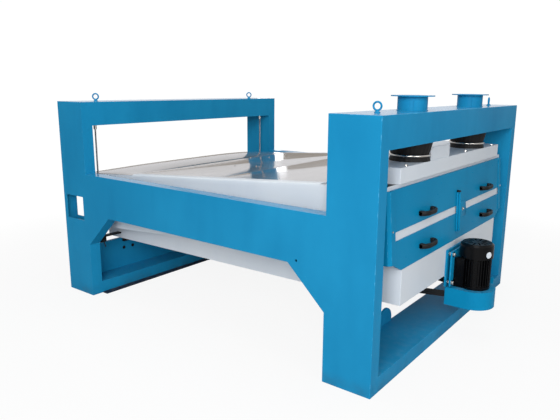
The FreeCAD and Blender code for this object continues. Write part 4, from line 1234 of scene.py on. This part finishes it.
@dataclass
class MotorDrive:
    """The motor with its cowl, the plates and studs it slides on, the guard and the belts."""

    shop: Shop
    disc_bearing: float = -26.6

    def build(self) -> None:
        """Makes the drive."""
        for node in ("motor_mount_plate", "motor_slide_plate"):
            self.shop.eased(node, 1.5 * MM)
        self.shop.eased("belt_guard", 1.5 * MM)
        self.shop.eased("terminal_case", 5.0 * MM, 3)
        self.shop.eased("motor_body", 0.8 * MM)
        self.shop.eased("motor_fan_cowl", 1.0 * MM)
        self.fittings()

    def fittings(self) -> None:
        """Nuts and washers of the motor's plates, the terminal case's bolts, the blank disc on the cowl and the brass
        gland.
        """
        low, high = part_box("tension_studs")
        mount_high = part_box("motor_mount_plate")[1]
        slide_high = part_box("motor_slide_plate")[1]
        form = Form()
        for y in (low.y + 8 * MM, high.y - 8 * MM):
            for z in (low.z + 8 * MM, high.z - 8 * MM):
                form.bolt((mount_high.x, y, z), Turn.HEAD, 15 * MM)
                form.bolt((slide_high.x, y, z), Turn.HEAD, 17 * MM)
        case_low, case_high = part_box("terminal_case")
        for x in (case_low.x + 12 * MM, case_high.x - 12 * MM):
            for z in (case_low.z + 12 * MM, case_high.z - 12 * MM):
                form.bolt((x, case_high.y, z), Turn.FAR, 8 * MM)
        self.shop.add(form.piece("drive_nuts", 40.0, False), "bright_steel")
        cowl_low, cowl_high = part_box("motor_fan_cowl")
        middle = (cowl_low + cowl_high) / 2
        facing = Matrix.Rotation(math.radians(self.disc_bearing), 4, "Z") @ Matrix.Rotation(math.pi / 2, 4, "Y")
        disc = Form().lathe(
            [(0, -1.6 * MM), (19 * MM, -1.6 * MM), (19.5 * MM, 0), (19 * MM, 0.6 * MM), (0, 0.8 * MM)], 32, (0, 0, 0),
        )
        out = Vector((math.cos(math.radians(self.disc_bearing)), math.sin(math.radians(self.disc_bearing)), 0))
        at = Vector((middle.x, middle.y, 532 * MM)) + out * (cowl_high.y - middle.y)
        bmesh.ops.transform(disc.mesh, matrix=Matrix.Translation(at) @ facing, verts=disc.mesh.verts)
        self.shop.add(disc.piece("blank_disc", 40.0, False), "box_paint")
        gland_low, gland_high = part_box("terminal_gland")
        middle = (gland_low + gland_high) / 2
        brass = Form()
        brass.lathe(
            [(11 * MM, 0), (11 * MM, 9 * MM), (8 * MM, 10 * MM), (8 * MM, 14 * MM), (10.5 * MM, 15 * MM),
             (10.5 * MM, 27 * MM), (8 * MM, 31 * MM), (5 * MM, 33 * MM), (0, 33 * MM)],
            6, (middle.x, middle.y, gland_low.z), Turn.UP,
        )
        self.shop.add(brass.piece("brass_gland", 40.0, False), "gland_brass", ["terminal_gland"])


@dataclass
class LiftingEyes:
    """The forged eyes on the top beams: a ring on a collar."""

    shop: Shop
    turns: tuple[float, float, float] = (38.0, 10.0, 100.0)
    spread: float = 835.0 * MM
    rise: float = 32.0 * MM
    collar: tuple[Flat, ...] = ((15, 0), (15, 4), (12, 6), (7.5, 9), (6, 14), (0, 14))

    def build(self) -> None:
        """Makes the four eyes."""
        low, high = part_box("lifting_eyes")
        form = Form()
        ring, wire = 20.0 * MM, 5.0 * MM
        bed = low.z
        for x in (low.x + ring + wire, high.x - ring - wire):
            for sign in (-1, 1):
                y = sign * self.spread
                turn = math.radians(self.turns[0 if x < 0 else 1 if sign < 0 else 2])
                path = []
                for step in range(40):
                    angle = math.tau * step / 40
                    across, up = ring * math.cos(angle), ring * math.sin(angle)
                    path.append((x + across * math.cos(turn), y + across * math.sin(turn), bed + self.rise + up))
                form.tube(path, wire, 12, True)
                form.lathe([(out * MM, up * MM) for out, up in self.collar], 24, (x, y, bed), Turn.UP)
        self.shop.add(form.piece("forged_eyes", 50.0, False), "frame_paint", ["lifting_eyes"])


@dataclass
class Studio:
    """The camera, the lamps, the pale floor and the white surroundings."""

    eye: Colour = (2.2971, -3.2845, 1.4953)
    bearing: float = 36.546
    dip: float = 12.288
    roll: float = 0.607
    focal: float = 562.67
    frame_width: float = 560.0
    axis: Flat = (289.75, 207.71)
    wall_turn: float = 36.0
    wall_foot: Flat = (-4.2, 5.8)
    window_offset: Flat = (0.12, -0.17)
    pane: Flat = (0.105, 0.17)
    pane_pitch: Flat = (0.24, 0.20)
    window_start: Flat = (0.72, 0.75)
    aim: Place = (0.0, 0.0, 0.6)

    def camera(self) -> None:
        """Sets the camera where the photograph was taken."""
        turn, dip = math.radians(self.bearing), math.radians(self.dip)
        forward = Vector((-math.sin(turn) * math.cos(dip), math.cos(turn) * math.cos(dip), -math.sin(dip)))
        right = Vector((math.cos(turn), math.sin(turn), 0.0))
        up = right.cross(forward)
        lean = Matrix.Rotation(-math.radians(self.roll), 3, forward)
        right, up = lean @ right, lean @ up
        data = bpy.data.cameras.new("camera")
        data.sensor_fit, data.sensor_width = "HORIZONTAL", 36.0
        data.lens = self.focal / self.frame_width * 36.0
        data.shift_x = -(self.axis[0] - 280.0) / self.frame_width
        data.shift_y = -(210.0 - self.axis[1]) / self.frame_width
        data.clip_end = 200.0
        camera = bpy.data.objects.new("camera", data)
        bpy.context.scene.collection.objects.link(camera)
        facing = Matrix((right, up, -forward)).transposed().to_4x4()
        camera.matrix_world = Matrix.Translation(Vector(self.eye)) @ facing
        bpy.context.scene.camera = camera

    def lamp(self, name: str, at: Place, aim: Place, size: float, power: float) -> None:
        """One square softbox.

        Args:
            name: The lamp's name.
            at: Where it stands.
            aim: What it points at.
            size: The length of its side.
            power: Its power in watts.
        """
        data = bpy.data.lights.new(name, "AREA")
        data.shape, data.size, data.energy = "SQUARE", size, power
        made = bpy.data.objects.new(name, data)
        made.location = Vector(at)
        made.rotation_euler = (Vector(aim) - Vector(at)).to_track_quat("-Z", "Y").to_euler()
        bpy.context.scene.collection.objects.link(made)

    def floor(self) -> None:
        """A broad pale floor that keeps the machine's shadow and turns white far off."""
        graph = Graph("pale floor")
        rays = graph.node("ShaderNodeLightPath", {}, {})
        tone = graph.mix(graph.noise(0.8, 2.0), (0.56, 0.56, 0.56), (0.58, 0.58, 0.58))
        x, y = graph.axis("Position", "X"), graph.axis("Position", "Y")
        far = (x * x + y * y).ramp(4.0, 20.0)
        share = Wire(graph, rays.outputs["Is Camera Ray"]) * (far * 0.13 + 0.87)
        diffuse = graph.node("ShaderNodeBsdfDiffuse", {}, {"Color": tone})
        white = graph.node("ShaderNodeEmission", {}, {"Color": (1.0, 1.0, 1.0), "Strength": 1.03})
        both = graph.node(
            "ShaderNodeMixShader", {},
            {0: share, 1: Wire(graph, diffuse.outputs[0]), 2: Wire(graph, white.outputs[0])},
        )
        graph.node("ShaderNodeOutputMaterial", {}, {"Surface": Wire(graph, both.outputs[0])})
        form = Form()
        form.slab((-40.0, -40.0, -0.02), (40.0, 40.0, 0.0))
        made = form.piece("floor", 35.0, False)
        made.data.materials.append(graph.material)

    def card(self, name: str, half: Flat, at: Place, tone: Wire | Colour, strength: float, graph: "Graph") -> None:
        """One upright card that only the gloss of the covers sees.

        Args:
            name: The card's name.
            half: Half of its length and its height.
            at: The middle of its foot.
            tone: Its colour.
            strength: How bright it is.
            graph: The graph of its material.
        """
        light = graph.node("ShaderNodeEmission", {}, {"Color": tone, "Strength": strength})
        graph.node("ShaderNodeOutputMaterial", {}, {"Surface": Wire(graph, light.outputs[0])})
        form = Form()
        form.slab((-half[0], -0.01, 0.0), (half[0], 0.0, half[1]))
        made = form.piece(name, 35.0, False)
        made.data.materials.append(graph.material)
        made.location = at
        made.rotation_euler = (0.0, 0.0, math.radians(self.wall_turn))
        made.visible_camera = made.visible_diffuse = made.visible_shadow = False

    def hall(self) -> None:
        """A wall with a dark dado and a paned window, seen only in the gloss of the covers."""
        turn = math.radians(self.wall_turn)
        graph = Graph("hall wall")
        z = graph.axis("Position", "Z")
        tone = graph.mix(z.ramp(0.45, 0.72), (1.0, 1.0, 1.0), (0.25, 0.215, 0.175))
        tone = graph.mix(z.ramp(1.1, 1.5), tone, (0.86, 0.85, 0.87))
        self.card("hall_wall", (6.0, 4.5), (*self.wall_foot, 0.0), tone, 1.0, graph)
        for column in range(2):
            out = self.window_start[0] - column * self.pane_pitch[0]
            x = self.wall_foot[0] - out * math.cos(turn) + self.window_offset[0]
            y = self.wall_foot[1] - out * math.sin(turn) + self.window_offset[1]
            for row in range(4):
                at = (x, y, self.window_start[1] + row * self.pane_pitch[1])
                pane = Graph("hall window pane")
                self.card(f"window_pane_{column}_{row}", self.pane, at, (0.95, 0.97, 1.0), 3.4, pane)

    def surroundings(self) -> None:
        """White all round, and dimmer as a light than as a background."""
        world = bpy.data.worlds.new("studio")
        world.use_nodes = True
        bpy.context.scene.world = world
        tree = world.node_tree
        tree.nodes.clear()
        rays = tree.nodes.new("ShaderNodeLightPath")
        level = tree.nodes.new("ShaderNodeMapRange")
        level.inputs["To Min"].default_value, level.inputs["To Max"].default_value = 0.34, 1.02
        mirrored = tree.nodes.new("ShaderNodeMath")
        mirrored.operation = "MAXIMUM"
        tree.links.new(rays.outputs["Is Glossy Ray"], mirrored.inputs[0])
        tree.links.new(rays.outputs["Is Transmission Ray"], mirrored.inputs[1])
        seen = tree.nodes.new("ShaderNodeMath")
        seen.operation = "MULTIPLY_ADD"
        seen.inputs[1].default_value = 0.5
        tree.links.new(mirrored.outputs[0], seen.inputs[0])
        tree.links.new(rays.outputs["Is Camera Ray"], seen.inputs[2])
        tree.links.new(seen.outputs[0], level.inputs["Value"])
        back = tree.nodes.new("ShaderNodeBackground")
        back.inputs["Color"].default_value = (1.0, 1.0, 1.0, 1.0)
        tree.links.new(level.outputs[0], back.inputs["Strength"])
        out = tree.nodes.new("ShaderNodeOutputWorld")
        tree.links.new(back.outputs[0], out.inputs["Surface"])

    def build(self) -> None:
        """Sets up the whole studio."""
        bpy.context.scene.view_settings.view_transform = "Standard"
        self.camera()
        self.floor()
        self.hall()
        self.surroundings()
        self.lamp("key", (3.0, -5.8, 3.1), self.aim, 3.0, 300.0)
        self.lamp("side", (6.4, -2.8, 2.3), self.aim, 2.5, 92.0)
        self.lamp("sky", (0.0, 0.0, 6.0), self.aim, 5.0, 150.0)


def main() -> None:
    """Builds the machine and the studio, and finishes the frame."""
    logging.basicConfig(level=logging.INFO, format="%(name)s %(message)s")
    shop = Shop()
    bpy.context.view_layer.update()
    Studio().build()
    for group in (PortalFrame, InletLine, HangingGear, ScreenBox, FrontEnd, MotorDrive, LiftingEyes):
        group(shop).build()
        LOG.info("built %s", group.__name__)


if __name__ == "__main__":
    main()
